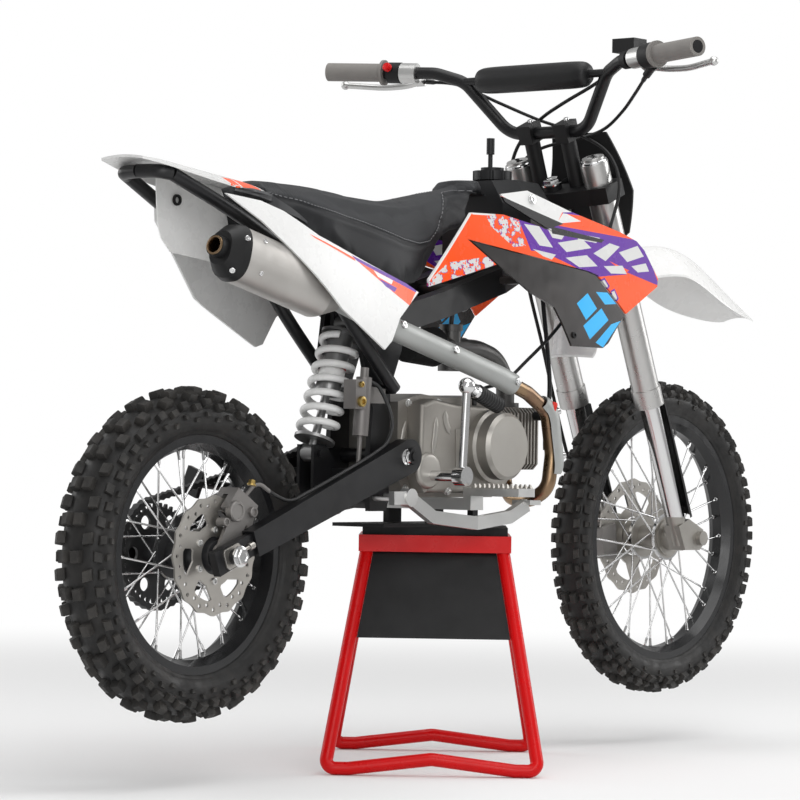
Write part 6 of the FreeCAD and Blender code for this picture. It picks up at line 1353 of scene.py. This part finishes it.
def makeEngineTrim(s):
    # a rib's radius = radius * taper * sin along it, cut at 1; ribs and teeth lie where a line meets a solid
    cover = surfaceOf("engine_cases")
    parts = []
    for line in s["ribs"]:
        path = []
        for x, z in smoothPath(metres(line), s["ribSteps"]):
            hit, facing = across(cover, x, z, -1)
            path.append((x, hit[1] if hit is not None else s["coverSide"], z))
        wave = np.sin(np.pi * np.linspace(*s["ribSpan"], s["ribSteps"]))
        taper = s["ribRadius"] * np.clip(s["ribTaper"] * wave, 0, 1)
        parts.append(swept(path, taper, 16, flat=s["ribFlat"], lift=(0, 1, 0)))
    boss = (s["boss"][0], s["coverSide"], s["boss"][1])
    parts.append(turned(boss, (0, -1, 0), s["bossProfile"], 40))
    parts.append(plate([metres(s["field"])], s["fieldThick"], (0.0, s["coverSide"], 0.0)))
    makePiece("cover_ribs", parts, "chassis", ["coverAlloy"], 40.0, bevel=0.0008)
    pegs = surfaceOf("footpegs")
    teeth = []
    for side in (-1, 1):
        for x in s["toothRows"]:
            for y in np.linspace(*s["toothAlong"], s["teeth"]):
                hit, facing = touch(pegs, (x, side * y, s["toothAbove"]), (0, 0, -1))
                if hit is not None:
                    teeth.append(turned(hit, (0, 0, 1), s["tooth"], 4, 0, np.pi / 4))
    makePiece("peg_teeth", teeth, "chassis", ["coverAlloy"], 20.0)
    makePiece("damper_label", [ringOf(s["damperFoot"], s["damperWay"], s["label"]),
                               ringOf(s["damperFoot"], s["damperWay"], s["stripe"], 40, 1)],
              "chassis", ["springWhite", "redLabel"], 50.0)


makeEngineTrim(engineSettings)
print("engine trim made")

# Spoke nipples: the same places as the spokes, on the rim's inner side

lacingSettings = {
    "hub": 0.033, "hubHalf": 0.03, "count": 36, "cross": 38.0,
    "ends": {"front": (0.2018, 0.006), "rear": (0.1648, 0.0075)},    # radius and half width of each rim
    "profile": [(-0.0005, 0.0034), (0.0015, 0.0034), (0.002, 0.0025), (0.013, 0.0024), (0.0145, 0.0019)],
}


def makeNipples(s, end):
    # a nipple stands on the rim and points at its spoke's place on the hub, turned on by the cross angle
    rim, half = s["ends"][end]
    x, z = wheelCentres[end]
    parts = []
    for k in range(s["count"]):
        side, lean = (1 if k % 2 else -1), (1 if (k // 2) % 2 else -1)
        atRim = 2 * np.pi * k / s["count"]
        atHub = atRim + lean * np.radians(s["cross"])
        start = np.array([s["hub"] * np.cos(atHub), side * s["hubHalf"], s["hub"] * np.sin(atHub)])
        stop = np.array([rim * np.cos(atRim), side * half, rim * np.sin(atRim)])
        parts.append(turned(stop + (x, 0.0, z), start - stop, s["profile"], 8))
    makePiece(end + "_nipples", parts, end + "_wheel", ["chrome"], 40.0)


for end in lacingSettings["ends"]:
    makeNipples(lacingSettings, end)
print("nipples made")

# Floor: pale, with the object's shadow; far away it melts into the white room

floorSettings = {"halfWidth": 14.0, "nearRadius": 1.6, "farRadius": 4.5, "color": (0.80, 0.80, 0.80)}


def makeFloor(s):
    # matt near the bike; further out it fades, by distance, into the room's white
    half = s["halfWidth"]
    mesh = bpy.data.meshes.new("paleFloor")
    corners = [(-half, -half, 0), (half, -half, 0), (half, half, 0), (-half, half, 0)]
    mesh.from_pydata(corners, [], [(0, 1, 2, 3)])
    floor = addObject("paleFloor", mesh)
    material = bpy.data.materials.new("paleFloor")
    material.use_nodes = True
    tree = material.node_tree
    tree.nodes.clear()
    reach = vector(tree, "LENGTH", objectCoordinates(tree))
    span = {"Value": reach, "From Min": s["nearRadius"], "From Max": s["farRadius"]}
    away = addNode(tree, "ShaderNodeMapRange", span, interpolation_type="SMOOTHSTEP").outputs[0]
    shown = times(tree, addNode(tree, "ShaderNodeLightPath").outputs["Is Camera Ray"], away)
    matt = addNode(tree, "ShaderNodeBsdfDiffuse", {"Color": (*s["color"], 1.0)}).outputs[0]
    glow = addNode(tree, "ShaderNodeEmission", {"Strength": 1.0}).outputs[0]
    both = addNode(tree, "ShaderNodeMixShader", {0: shown, 1: matt, 2: glow}).outputs[0]
    addNode(tree, "ShaderNodeOutputMaterial", {"Surface": both})
    mesh.materials.append(material)


makeFloor(floorSettings)
print("floor made")
